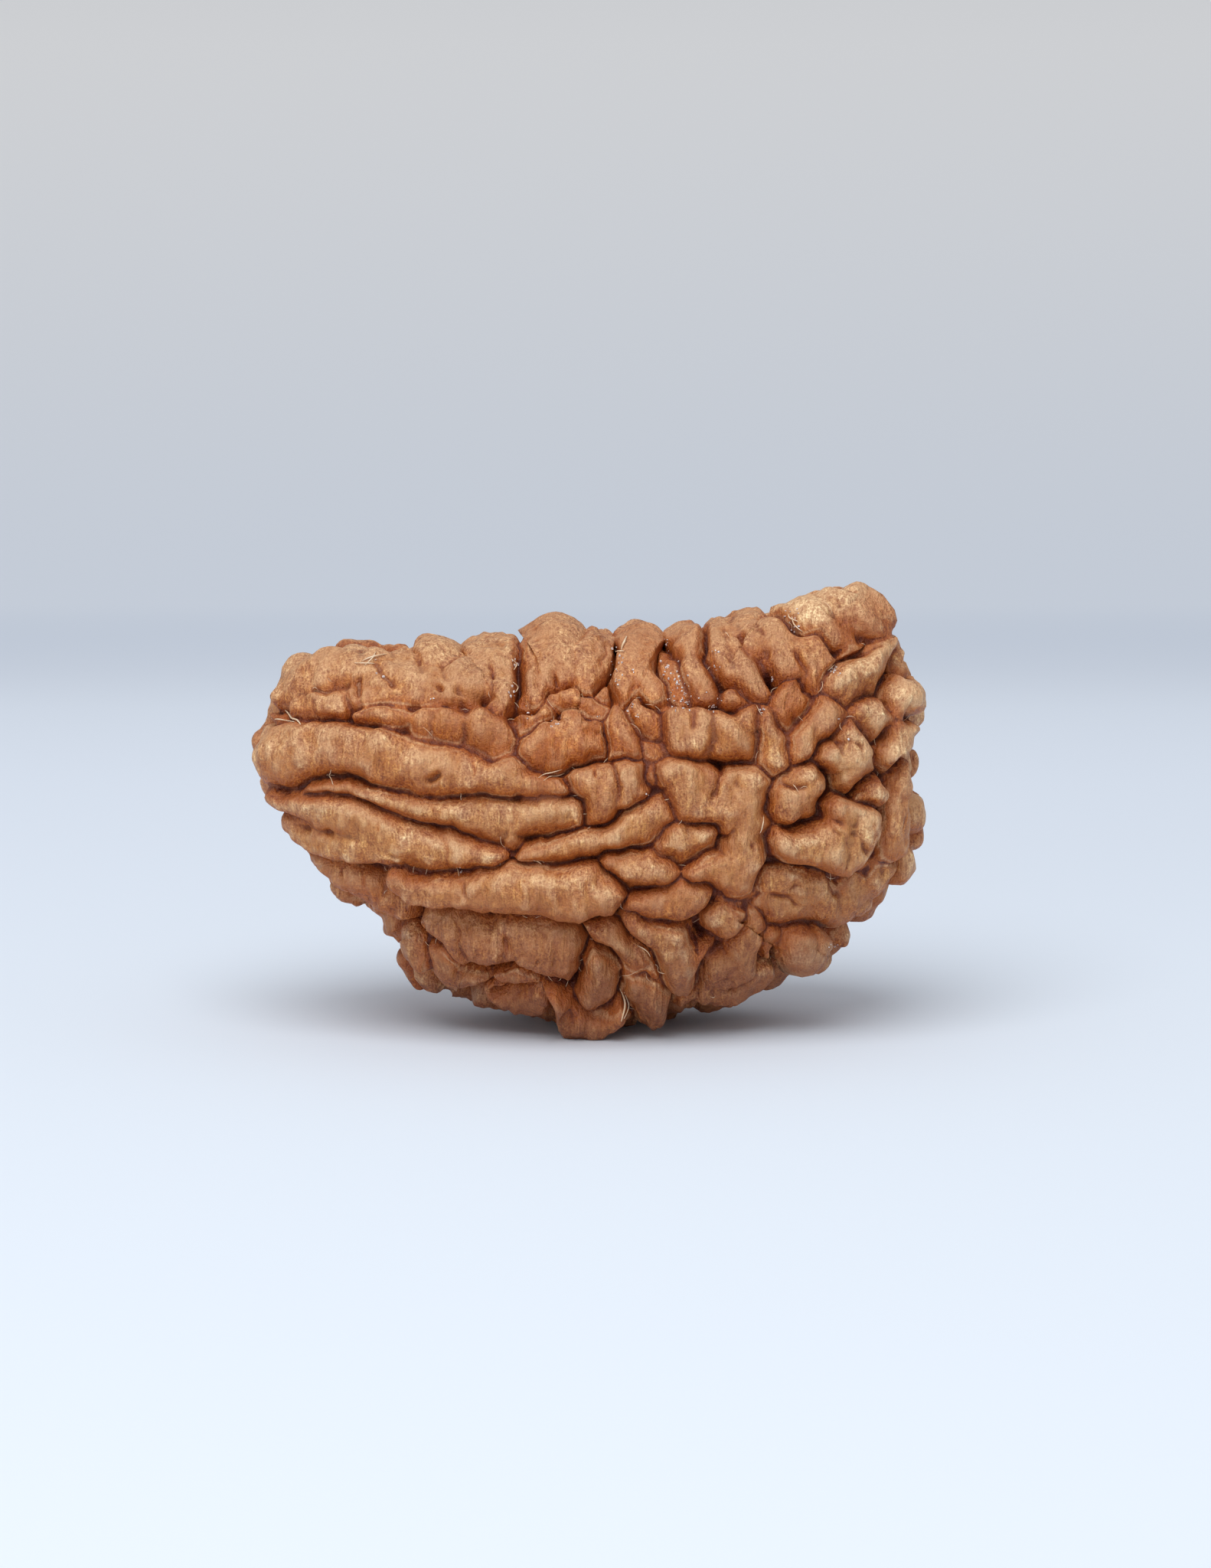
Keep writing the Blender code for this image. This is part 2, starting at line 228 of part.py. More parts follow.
# Short cracks and pits: depth, half width and where they run
CRACKS = [
    (0.6, 0.1, [(-12.2, 9.5), (-11.5, 9.25), (-10.7, 8.9), (-10.0, 8.7)]),
    (0.35, 0.08, [(10.6, 10.15), (11.0, 10.2), (11.5, 10.5)]),
    (0.45, 0.09, [(9.9, 15.6), (10.4, 15.3), (10.9, 15.45), (11.3, 15.8)]),
    (0.5, 0.1, [(-6.2, 10.6), (-5.7, 10.75)]),
    (0.35, 0.1, [(-4.8, 6.7), (-4.5, 6.2)]),
    (0.35, 0.1, [(7.6, 10.25), (8.0, 10.2), (8.5, 10.3)]),
    (0.35, 0.08, [(10.1, 8.6), (10.5, 8.55), (10.7, 8.2), (10.9, 8.0)]),
    (0.3, 0.1, [(-8.6, 14.5), (-8.3, 14.2), (-7.8, 14.0), (-7.3, 13.95)]),
    (0.25, 0.1, [(-10.9, 13.8), (-10.3, 13.85), (-9.8, 13.8)]),
    (0.55, 0.16, [(-5.5, 16.0), (-5.35, 15.5), (-5.3, 15.0)]),
    (0.3, 0.16, [(-9.6, 13.6), (-9.65, 13.1), (-9.6, 12.7)]),
    (0.2, 0.12, [(-6.95, 13.1), (-6.95, 12.7), (-7.0, 12.2)]),
    (0.4, 0.1, [(-3.0, 13.3), (-3.05, 12.7), (-2.95, 12.2)]),
    (0.9, 0.18, [(-3.0, 15.4), (-2.9, 14.7), (-2.85, 14.1), (-2.7, 13.6), (-2.5, 13.15)]),
    (0.45, 0.12, [(5.35, 10.95), (5.2, 10.5), (5.05, 10.1)]),
    (0.25, 0.1, [(4.9, 9.9), (4.7, 9.5), (4.8, 9.1)]),
    (0.4, 0.1, [(1.15, 11.1), (1.2, 10.5), (1.35, 9.9), (1.5, 9.4)]),
    (0.4, 0.1, [(9.5, 9.1), (9.9, 8.85), (10.3, 8.85)]),
    (0.2, 0.15, [(-8.2, 15.9), (-8.2, 15.4), (-8.5, 15.1)]),
    (0.3, 0.08, [(9.6, 11.95), (10.1, 12.0), (10.4, 11.85)]),
    (0.3, 0.08, [(5.4, 2.3), (5.7, 2.1), (6.2, 2.15)]),
    (0.4, 0.09, [(-1.4, 15.3), (-1.25, 14.8), (-1.2, 14.4)]),
    (0.6, 0.14, [(-0.5, 17.0), (-0.5, 16.5), (-0.5, 16.1)]),
    (0.15, 0.15, [(-0.5, 16.0), (-0.55, 15.2)]),
    (0.95, 0.2, [(1.35, 16.1), (1.3, 15.4), (1.15, 14.8), (1.15, 14.1), (1.35, 13.5)]),
    (0.35, 0.1, [(2.05, 15.0), (2.05, 14.5), (2.15, 13.9)]),
    (0.95, 0.18, [(5.1, 16.4), (5.1, 15.6), (5.2, 14.9), (5.35, 14.1)]),
    (0.45, 0.12, [(6.5, 15.7), (6.65, 15.2), (7.1, 14.8), (7.35, 14.35)]),
    (0.5, 0.12, [(7.45, 15.2), (7.4, 14.6), (7.4, 14.0)]),
    (0.25, 0.1, [(7.6, 16.6), (7.55, 16.1), (7.4, 15.7)]),
    (0.5, 0.11, [(8.5, 15.3), (8.65, 14.7), (8.65, 13.9)]),
    (0.3, 0.12, [(8.5, 16.0), (9.2, 15.9), (9.8, 15.6)]),
    (0.3, 0.1, [(8.0, 16.9), (8.2, 16.5), (8.5, 16.1)]),
    (0.25, 0.1, [(4.95, 12.9), (5.0, 12.3), (4.9, 11.7)]),
    (0.15, 0.1, [(4.2, 12.9), (4.2, 12.4)]),
    (0.3, 0.08, [(10.5, 17.7), (10.55, 17.4), (10.9, 17.25), (11.4, 17.3)]),
    (0.25, 0.08, [(5.2, 8.1), (5.5, 8.2), (5.6, 8.5)]),
    (0.25, 0.1, [(7.5, 5.95), (8.1, 5.8), (8.4, 5.5)]),
    (0.35, 0.12, [(9.75, 6.9), (9.8, 6.4), (9.95, 5.9)]),
    (0.25, 0.1, [(-3.1, 4.9), (-3.2, 4.4), (-3.0, 3.9)]),
    (0.3, 0.08, [(-3.0, 3.5), (-2.6, 3.2), (-2.3, 3.0)]),
    (0.3, 0.1, [(-1.0, 10.0), (-0.6, 9.9), (-0.2, 9.6)]),
    (0.8, 0.2, [(-5.05, 13.2), (-4.85, 13.1)]), (0.5, 0.12, [(-4.25, 13.5), (-4.15, 13.45)]),
    (0.6, 0.13, [(-6.15, 13.85), (-6.05, 13.75)]), (0.7, 0.14, [(-9.2, 14.0), (-9.1, 13.75)]),
    (0.6, 0.12, [(-2.9, 12.75), (-2.85, 12.6)]), (0.7, 0.2, [(4.75, 4.2), (4.75, 4.05)]),
    (0.6, 0.2, [(7.65, 3.6), (7.65, 3.4)]), (0.7, 0.22, [(-0.6, 1.6), (-0.5, 1.4)]),
    (0.5, 0.15, [(-3.6, 2.05), (-3.6, 1.95)]), (0.5, 0.14, [(-12.9, 11.05), (-12.85, 10.95)]),
    (0.7, 0.16, [(-1.25, 12.9), (-1.1, 12.8)]), (1.0, 0.16, [(2.65, 13.4), (2.85, 13.3)]),
    (0.5, 0.12, [(-2.8, 9.85), (-2.8, 9.8)]),
]


def outline_radius(angle):
    """Distance from the heart to the outline, along a smooth curve through the outline's points."""
    points = np.array(OUTLINE) - np.array(HEART)
    a = np.arctan2(points[:, 1], points[:, 0])
    r = np.hypot(points[:, 0], points[:, 1])
    order = np.argsort(a)
    a = a[order]
    r = r[order]
    a = np.concatenate([a[-3:] - 2 * np.pi, a, a[:3] + 2 * np.pi])
    r = np.concatenate([r[-3:], r, r[:3]])
    i = np.clip(np.searchsorted(a, angle) - 1, 1, len(a) - 3)
    span = a[i + 1] - a[i]
    t = (angle - a[i]) / span
    start = (r[i + 1] - r[i - 1]) / (a[i + 1] - a[i - 1]) * span
    end = (r[i + 2] - r[i]) / (a[i + 2] - a[i]) * span
    near = (2 * t**3 - 3 * t**2 + 1) * r[i] + (t**3 - 2 * t**2 + t) * start
    return near + (3 * t**2 - 2 * t**3) * r[i + 1] + (t**3 - t**2) * end


def smooth_radius(angle):
    """The outline with its small steps ironed out, for the middle of the face."""
    turn = np.linspace(-np.pi, np.pi, 256, endpoint=False)
    r = outline_radius(turn)
    out = np.full(np.shape(angle), r.mean())
    for k in range(1, 6):
        out = out + 2 * (r * np.cos(k * turn)).mean() * np.cos(k * angle)
        out = out + 2 * (r * np.sin(k * turn)).mean() * np.sin(k * angle)
    return out


def body(directions):
    """Points of the smooth body in these directions from its heart: across, depth and up."""
    s = np.hypot(directions[:, 0], directions[:, 2])
    angle = np.arctan2(directions[:, 2], directions[:, 0])
    detail = s**5
    reach = s * (smooth_radius(angle) * (1 - detail) + outline_radius(angle) * detail)
    y = directions[:, 1]
    deep = np.where(y < 0, FACE_DEPTH, BACK_DEPTH) * np.sign(y) * np.abs(y) ** 0.92
    up = reach * np.sin(angle)
    return np.stack([HEART[0] + reach * np.cos(angle), deep - up * SLANT, HEART[1] + up], 1)


def unit(vectors):
    return vectors / np.linalg.norm(vectors, axis=1, keepdims=True)


def body_normals(directions):
    """Which way is out, at the same points."""
    step = 1e-3
    helper = np.where(np.abs(directions[:, :1]) < 0.8, [[1.0, 0, 0]], [[0, 0, 1.0]])
    first = unit(np.cross(directions, helper))
    second = np.cross(directions, first)
    a = body(unit(directions + step * first)) - body(unit(directions - step * first))
    b = body(unit(directions + step * second)) - body(unit(directions - step * second))
    normals = unit(np.cross(a, b))
    outward = np.sign((normals * directions).sum(1).mean())
    return normals * outward


def seat(across, up, height, side):
    """Where a fold seen at (across, up) sits on the body. Beyond the rim it rolls over to the other side."""
    off = np.array([across, up]) - HEART
    angle = math.atan2(off[1], off[0])
    far = math.hypot(*off)
    deep = FACE_DEPTH if side < 0 else BACK_DEPTH
    rim = float(outline_radius(np.array([angle]))[0])
    ironed = float(smooth_radius(np.array([angle]))[0])

    def seen(s):
        reach = ironed * (1 - s**5) + rim * s**5
        out = s / reach
        front = math.sqrt(max(1 - s * s, 0)) / deep
        return reach * s + 0.75 * height * out / math.hypot(out, front)

    if far > seen(1.0):
        s = max(0.5, 1 - (far - seen(1.0)) / rim)
        side = -side
    else:
        low = 0.0
        high = 1.0
        for _ in range(25):
            s = (low + high) / 2
            if seen(s) < far:
                low = s
            else:
                high = s
    flat = [s * math.cos(angle), side * math.sqrt(max(1 - s * s, 0)), s * math.sin(angle)]
    return body(np.array([flat]))[0]


def curve_through(rows, steps=3):
    """A smooth run of points through the rows of a stroke."""
    p = np.array(rows, float)
    if len(p) == 1:
        return np.vstack([p, p + 1e-3])
    if len(p) == 2:
        return p
    longer = np.vstack([2 * p[0] - p[1], p, 2 * p[-1] - p[-2]])
    out = []
    for i in range(1, len(longer) - 2):
        a, b, c, d = longer[i - 1:i + 3]
        for k in range(steps):
            t = k / steps
            bend = (2 * a - 5 * b + 4 * c - d) * t**2 + (3 * b - a - 3 * c + d) * t**3
            out.append(0.5 * (2 * b + (c - a) * t + bend))
    out.append(p[-1])
    return np.array(out)


def inside(points, path, margin):
    """How deep inside a tapered stroke each point lies (negative outside), and the half width there."""
    depth = np.full(len(points), -9.0)
    width = np.ones(len(points))
    low = path[:, :3].min(0) - path[:, 3].max() - margin
    high = path[:, :3].max(0) + path[:, 3].max() + margin
    near = np.flatnonzero(((points > low) & (points < high)).all(1))
    q = points[near]
    best = depth[near]
    wide = width[near]
    for a, b in zip(path[:-1], path[1:]):
        along = b[:3] - a[:3]
        t = np.clip((q - a[:3]) @ along / max(float(along @ along), 1e-12), 0, 1)
        r = a[3] + t * (b[3] - a[3])
        e = r - np.linalg.norm(q - (a[:3] + t[:, None] * along), axis=1)
        better = e > best
        best[better] = e[better]
        wide[better] = r[better]
    depth[near] = best
    width[near] = wide
    return depth, width


def inside_any(points, paths, margin=1.5):
    depth = np.full(len(points), -9.0)
    width = np.ones(len(points))
    for path in paths:
        e, w = inside(points, path, margin)
        better = e > depth
        depth[better] = e[better]
        width[better] = w[better]
    return depth, width


def rise(points, paths):
    """Where each point lies between the lower edge (-1) and the upper edge (1) of a fold."""
    rows = np.vstack(paths)
    slope, start = np.polyfit(rows[:, 0], rows[:, 2], 1)
    above = rows[:, 2] - start - slope * rows[:, 0]
    half = rows[:, 3].mean() + above.std()
    return np.clip((points[:, 2] - start - slope * points[:, 0]) / half, -1, 1)


def ripples(points, length, seed, count=20):
    """Seeded smooth unevenness: many waves of about this length, running every way."""
    rng = np.random.default_rng(seed)
    waves = rng.normal(size=(count, 3))
    waves *= (2 * np.pi / length * rng.uniform(0.7, 1.4, count) / np.linalg.norm(waves, axis=1))[:, None]
    phase = rng.uniform(0, 2 * np.pi, count)
    out = np.zeros(len(points))
    for k in range(count):
        out += np.cos(points @ waves[k] + phase[k])
    return out * math.sqrt(2 / count)


def seated(folds, side):
    """Each fold's strokes as paths on the body: across, depth, up and half width."""
    out = []
    for height, rounding, strokes in folds:
        paths = []
        for rows in strokes:
            rows = curve_through(rows)
            paths.append(np.array([[*seat(r[0], r[1], height, side), r[2]] for r in rows]))
        out.append((height, rounding, paths))
    return out


def spare_folds(named):
    """Folds where no named fold lies. They run out of the tip: long near it, rounder far from it."""
    rng = np.random.default_rng(SEED)
    tip = np.array([-1.0, 0.0, 0.1])
    tip /= np.linalg.norm(tip)
    found = []
    taken = []

    def free(points):
        best = np.full(len(points), -9.0)
        for _, _, paths in named:
            best = np.maximum(best, inside_any(points, paths)[0])
        return -best

    for narrow, wide in ((0.8, 1.15), (0.45, 0.7)):
        starts = unit(rng.normal(size=(4000, 3)))
        starts = starts[(starts[:, 1] > -0.35) & (free(body(starts)) > 0.4)]
        for start, point in zip(starts, body(starts)):
            half = rng.uniform(narrow, wide)
            if any(np.linalg.norm(point - other) < 0.9 * (half + w) for other, w in taken):
                continue
            away = math.acos(np.clip(start @ tip, -1, 1))
            across = unit((start - tip * (start @ tip))[None])[0]
            sideways = np.cross(tip, across)
            long = half * rng.uniform(0.45, 1.0) * max(0.6, 3.6 - 1.2 * away) / 11
            drift = long * rng.normal(0, 0.3 + 0.15 * away)
            rows = []
            for k in (-1.0, -0.5, 0.0, 0.5, 1.0):
                turn = away + k * long
                out = across * math.cos(drift * k) + sideways * math.sin(drift * k)
                at = body(unit((tip * math.cos(turn) + out * math.sin(turn))[None]))
                if free(at)[0] > 0.3 + 0.3 * half:
                    rows.append([*at[0], half * (1.0 - 0.35 * k * k)])
            if not rows:
                rows = [[*point, half]]
            taken += [(np.array(r[:3]), r[3]) for r in rows]
            if len(rows) == 1:
                rows.append([rows[0][0] + 0.05, *rows[0][1:]])
            height = rng.uniform(0.8, 1.25) * (0.6 if abs(start[1]) < 0.35 else 1.0)
            found.append((height, rng.uniform(0.6, 0.9), [np.array(rows)]))
    return found


def relief(points):
    """Height of the folds over the smooth body at these points of it."""
    broad = np.stack([ripples(points, 2.3, SEED + k) for k in range(3)], 1)
    fine = np.stack([ripples(points, 0.9, SEED + 10 + k) for k in range(3)], 1)
    q = points + 0.07 * broad + 0.03 * fine
    named = seated(FOLDS.values(), -1) + seated(REAR.values(), 1)
    spare = spare_folds(named)
    print("folds:", len(named), "named and", len(spare), "spare")
    first = np.full(len(q), -9.0)
    second = np.full(len(q), -9.0)
    weight = np.full(len(q), 1e-9)
    weighed = np.zeros(len(q))
    edge = np.ones(len(q))
    tilts = [TILTS.get(name, 0.04) for name in FOLDS] + [0] * (len(REAR) + len(spare))
    for (height, rounding, paths), tilt in zip(named + spare, tilts):
        e, w = inside_any(q, paths)
        raised = rise(q, paths)
        height = height + tilt * raised
        share = np.exp(np.maximum(e, -3) / BLEND)
        weight += share
        weighed += share * height
        wins = e > first
        second = np.where(wins, first, np.maximum(second, e))
        first = np.where(wins, e, first)
        edge[wins] = ((0.25 + 0.55 * rounding) * w * (1 - 0.25 * raised))[wins]
    e = np.minimum(first + GROW, (first - second) / 2)
    e = np.sqrt(np.maximum(e, 0) ** 2 + 0.04**2) - 0.04
    profile = np.sqrt(1 - (1 - np.clip(e / edge, 0, 1)) ** 2)
    h = weighed / weight
    faint = np.clip(0.9 + 0.3 * ripples(points, 3.5, SEED + 20), 0.5, 1.2)
    for across, up, reach in GROWN_TOGETHER:
        away = np.linalg.norm(points - seat(across, up, 1.0, -1), axis=1)
        faint *= 1 - 0.85 * np.exp(-(away / reach) ** 4)
    h -= np.minimum(GROOVE, 0.4 + 1.1 * edge) * faint * (1 - profile)
    h -= np.clip(-first - 0.1, 0, 1.0) * 0.5
    h += (0.3 + 0.7 * profile) * 0.04 * ripples(points, 1.3, SEED + 30)
    for depth, half, rows in CRACKS:
        path = np.array([[*seat(across, up, 1.0, -1), 0.0] for across, up in rows])
        away = inside(q, path, 3 * half + 0.2)[0]
        h -= depth * np.exp(-(np.minimum(away, 0) / half) ** 2)
    return h


def to_world(points):
    """From the leaning view in which the strokes are drawn to upright, in millimetres."""
    x, y, z = points.T
    c = math.cos(LEAN)
    s = math.sin(LEAN)
    return np.stack([x, y * c + z * s, z * c - y * s], 1) + OFFSET


def ball():
    """A ball made from a finely cut cube. Returns the mesh and the direction of each of its points."""
    bm = bmesh.new()
    bmesh.ops.create_cube(bm, size=2)
    bmesh.ops.subdivide_edges(bm, edges=bm.edges[:], cuts=CUTS, use_grid_fill=True)
    bmesh.ops.recalc_face_normals(bm, faces=bm.faces[:])
    mesh = bpy.data.meshes.new("rudraksha_seed")
    bm.to_mesh(mesh)
    bm.free()
    co = np.empty(len(mesh.vertices) * 3, np.float32)
    mesh.vertices.foreach_get("co", co)
    return mesh, unit(np.tan(co.reshape(-1, 3).astype(float) * np.pi / 4))


def collection(name):
    made = bpy.data.collections.new(name)
    bpy.context.scene.collection.children.link(made)
    return made


def bone_coloured_wood():
    material = bpy.data.materials.new("seed_shell")
    material.use_nodes = True
    shader = material.node_tree.nodes["Principled BSDF"]
    shader.inputs["Base Color"].default_value = (0.42, 0.22, 0.1, 1)
    shader.inputs["Roughness"].default_value = 0.65
    return material


for old in list(bpy.data.objects):
    bpy.data.objects.remove(old, do_unlink=True)

# The stone: the ball pushed into the body's shape, and each point lifted by the relief
mesh, directions = ball()
smooth = body(directions)
stone = to_world(smooth + body_normals(directions) * relief(smooth)[:, None])
mesh.vertices.foreach_set("co", (stone * MM).astype(np.float32).ravel())
mesh.polygons.foreach_set("use_smooth", np.ones(len(mesh.polygons), bool))
mesh.update()
mesh.materials.append(bone_coloured_wood())
seed = bpy.data.objects.new("rudraksha_seed", mesh)
collection("rudraksha seed").objects.link(seed)

# The sharp floor of each groove is softened, then flat places lose most of their triangles.
soften = seed.modifiers.new("soften grooves", "SMOOTH")
soften.factor = 0.5
soften.iterations = 2
thin = seed.modifiers.new("thin out", "DECIMATE")
thin.ratio = TRIANGLES / (2 * len(mesh.polygons))

# The three lowest folds are worn flat where they touch the table.
cutters = collection("cutters")
table_mesh = bpy.data.meshes.new("table")
bm = bmesh.new()
bmesh.ops.create_cube(bm, size=1)
bmesh.ops.scale(bm, vec=(40 * MM, 40 * MM, 10 * MM), verts=bm.verts)
bmesh.ops.translate(bm, vec=(0, 0, -5 * MM), verts=bm.verts)
bm.to_mesh(table_mesh)
bm.free()
table = bpy.data.objects.new("table", table_mesh)
cutters.objects.link(table)
table.hide_render = True
table.display_type = "WIRE"
wear = seed.modifiers.new("worn flat", "BOOLEAN")
wear.operation = "DIFFERENCE"
wear.solver = "EXACT"
wear.object = table
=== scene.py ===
# %% [markdown]
# # A rudraksha seed
# The real object is the stone of a fruit: one hard, pale-brown stone of the half-moon kind, 27 mm
# long, with a net of folds and grooves grown all over it. We model it in the millimetres in which
# it was measured and turn them into metres at the very end. The measured solid comes with the
# frame. This lesson makes a finer stone over the same strokes, and then its colour, the hairs and
# white grains that cling to it, a floor, light and a camera.

import math

import bmesh
import bpy
import numpy as np
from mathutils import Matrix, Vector


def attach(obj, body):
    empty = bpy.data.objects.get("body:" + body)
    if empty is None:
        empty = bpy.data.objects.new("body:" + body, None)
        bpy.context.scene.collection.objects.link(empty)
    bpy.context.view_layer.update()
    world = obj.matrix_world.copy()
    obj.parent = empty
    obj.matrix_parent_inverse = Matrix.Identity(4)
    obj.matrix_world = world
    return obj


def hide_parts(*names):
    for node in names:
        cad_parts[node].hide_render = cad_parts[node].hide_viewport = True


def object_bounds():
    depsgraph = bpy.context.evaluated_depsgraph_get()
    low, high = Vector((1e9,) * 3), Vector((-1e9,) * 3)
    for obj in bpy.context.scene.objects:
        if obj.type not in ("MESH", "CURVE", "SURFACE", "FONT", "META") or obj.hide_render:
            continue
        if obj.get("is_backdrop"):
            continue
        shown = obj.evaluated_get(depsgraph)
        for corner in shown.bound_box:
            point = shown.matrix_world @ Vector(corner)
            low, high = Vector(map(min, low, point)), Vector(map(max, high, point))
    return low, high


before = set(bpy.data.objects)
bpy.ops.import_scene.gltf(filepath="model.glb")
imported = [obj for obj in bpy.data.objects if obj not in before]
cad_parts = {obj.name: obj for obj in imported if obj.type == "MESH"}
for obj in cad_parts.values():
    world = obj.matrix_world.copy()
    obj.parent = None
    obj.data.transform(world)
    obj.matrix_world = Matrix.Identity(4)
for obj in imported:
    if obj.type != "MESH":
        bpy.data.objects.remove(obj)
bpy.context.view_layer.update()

# %% [markdown]
# ## The sizes
# The stone is drawn as it is seen, a little from above, on a sheet where the tip is at the left
# and the lowest fold is near (0, 0). Numbers that belong to the whole stone get a name here, so
# that a change in one place reaches every step.

# %% Sizes of the whole stone
MM = 0.001
HEART = (0.3, 9.4)  # middle of the outline, across and up
FACE_DEPTH = 5.4  # from the middle of the body to its face
BACK_DEPTH = 5.0  # from the middle of the body to its back
SLANT = 0.1  # how much the body leans away towards its foot
LEAN = math.radians(11.0)  # the strokes are drawn as seen from this much above
GROW = 0.22  # how far a fold spreads past its stroke when nothing is in the way
BLEND = 0.12  # width over which the height of one fold turns into the next
GROOVE = 1.3  # deepest groove between two folds
OFFSET = (-0.06, -1.3, -0.5)  # puts the middle of the bottom at the origin
SEED = 7
CUTS = 216  # rows of faces on each side of the ball that the stone is made from
TRIANGLES = 188000  # triangles of the finished stone, where the ball has more
print("the strokes lean back by", round(math.degrees(LEAN)), "degrees")

# %% [markdown]
# ## The outline
# A half-moon: a long curved edge below, a nearly straight edge above, and a knob at its right end.
# A curve object could hold it, but a short list of points is easier to compare with a drawing.

# %% Outline under the folds, clockwise from the tip
OUTLINE = [
    (-12.85, 11.1), (-12.7, 12.0), (-12.3, 12.9), (-11.8, 13.95), (-11.25, 14.8), (-10.6, 15.05),
    (-9.6, 15.2), (-8.3, 15.1), (-7.2, 15.05), (-6.2, 15.4), (-5.15, 14.75), (-4.3, 15.15),
    (-3.2, 15.35), (-2.2, 15.3), (-1.15, 15.95), (-0.7, 15.75), (-0.6, 15.1), (0.3, 15.4), (1.1, 15.1),
    (2.2, 15.5), (3.1, 15.1), (4.1, 15.6), (5.2, 15.75), (6.3, 15.95), (7.6, 16.2), (8.6, 16.75),
    (10.1, 17.2), (11.3, 17.15), (11.75, 17.1), (11.6, 16.2), (12.0, 14.9), (12.85, 13.6),
    (12.75, 12.5), (12.45, 11.7), (12.6, 10.8), (12.6, 9.8), (12.95, 8.6), (12.6, 7.5), (11.4, 6.1),
    (10.5, 5.2), (9.9, 4.6), (9.3, 3.7), (8.85, 3.15), (8.1, 3.65), (7.3, 2.75), (6.3, 2.0),
    (4.2, 1.85), (2.4, 1.35), (0.2, 0.9), (-1.2, 1.5), (-2.5, 1.6), (-3.8, 1.9), (-5.2, 2.5),
    (-6.2, 2.5), (-6.9, 3.2), (-6.95, 4.1), (-7.4, 4.8), (-8.6, 5.9), (-9.9, 6.4), (-10.35, 7.4),
    (-11.2, 8.7), (-11.9, 9.7), (-12.5, 10.5),
]
print("the outline has", len(OUTLINE), "points")

# %% [markdown]
# ## The folds
# Each fold is a tapered stroke, like one pull of a brush. It has a height, how round its top is,
# and rows of (across, up, half width). Sculpting by hand would also give folds, but strokes can be
# changed one number at a time, and the finished mesh can be made as fine as we like.

# %% The strokes of the shoulder, above the tip
FOLDS = {
    "shoulder": (0.9, 0.45, [[(-12.2, 13.5, 0.6), (-11.6, 14.2, 0.85), (-10.6, 14.7, 1.0),
        (-9.4, 14.9, 1.0), (-8.4, 15.0, 0.9), (-7.4, 14.9, 0.85)], [(-10.4, 15.6, 0.6),
        (-9.2, 15.8, 0.6), (-8.0, 15.7, 0.55)], [(-7.2, 14.6, 0.7), (-6.6, 15.0, 0.85),
        (-6.3, 15.6, 0.75), (-6.2, 16.6, 0.7)], [(-9.0, 14.3, 0.6), (-7.6, 14.1, 0.7),
        (-6.4, 14.1, 0.7), (-5.6, 14.1, 0.7)], [(-4.3, 16.6, 0.7), (-4.3, 15.5, 0.8), (-4.4, 14.6, 0.9),
        (-4.5, 14.0, 0.8)], [(-3.6, 15.8, 0.5), (-3.5, 14.8, 0.48), (-3.5, 13.9, 0.5),
        (-3.5, 13.4, 0.4)], [(-5.2, 14.9, 0.6), (-5.3, 14.4, 0.7)], [(-11.4, 13.3, 0.42),
        (-10.6, 13.4, 0.5), (-9.9, 13.4, 0.45)], [(-9.2, 13.6, 0.4), (-8.0, 13.6, 0.4),
        (-6.5, 13.5, 0.4), (-5.0, 13.4, 0.4)]]),
    # two faces under the shoulder whose upper edge stands out
    "terrace": (0.95, 0.35, [[(-9.1, 12.95, 0.35), (-8.4, 12.85, 0.5), (-7.5, 12.75, 0.5)],
        [(-6.5, 12.5, 0.55), (-5.5, 12.4, 0.68), (-4.6, 12.25, 0.75), (-3.7, 12.0, 0.6)]]),
    "tip_fold": (0.7, 0.6, [[(-12.5, 12.9, 0.22), (-12.1, 13.0, 0.25)]]),
}
print("the shoulder:", len(FOLDS), "folds so far")

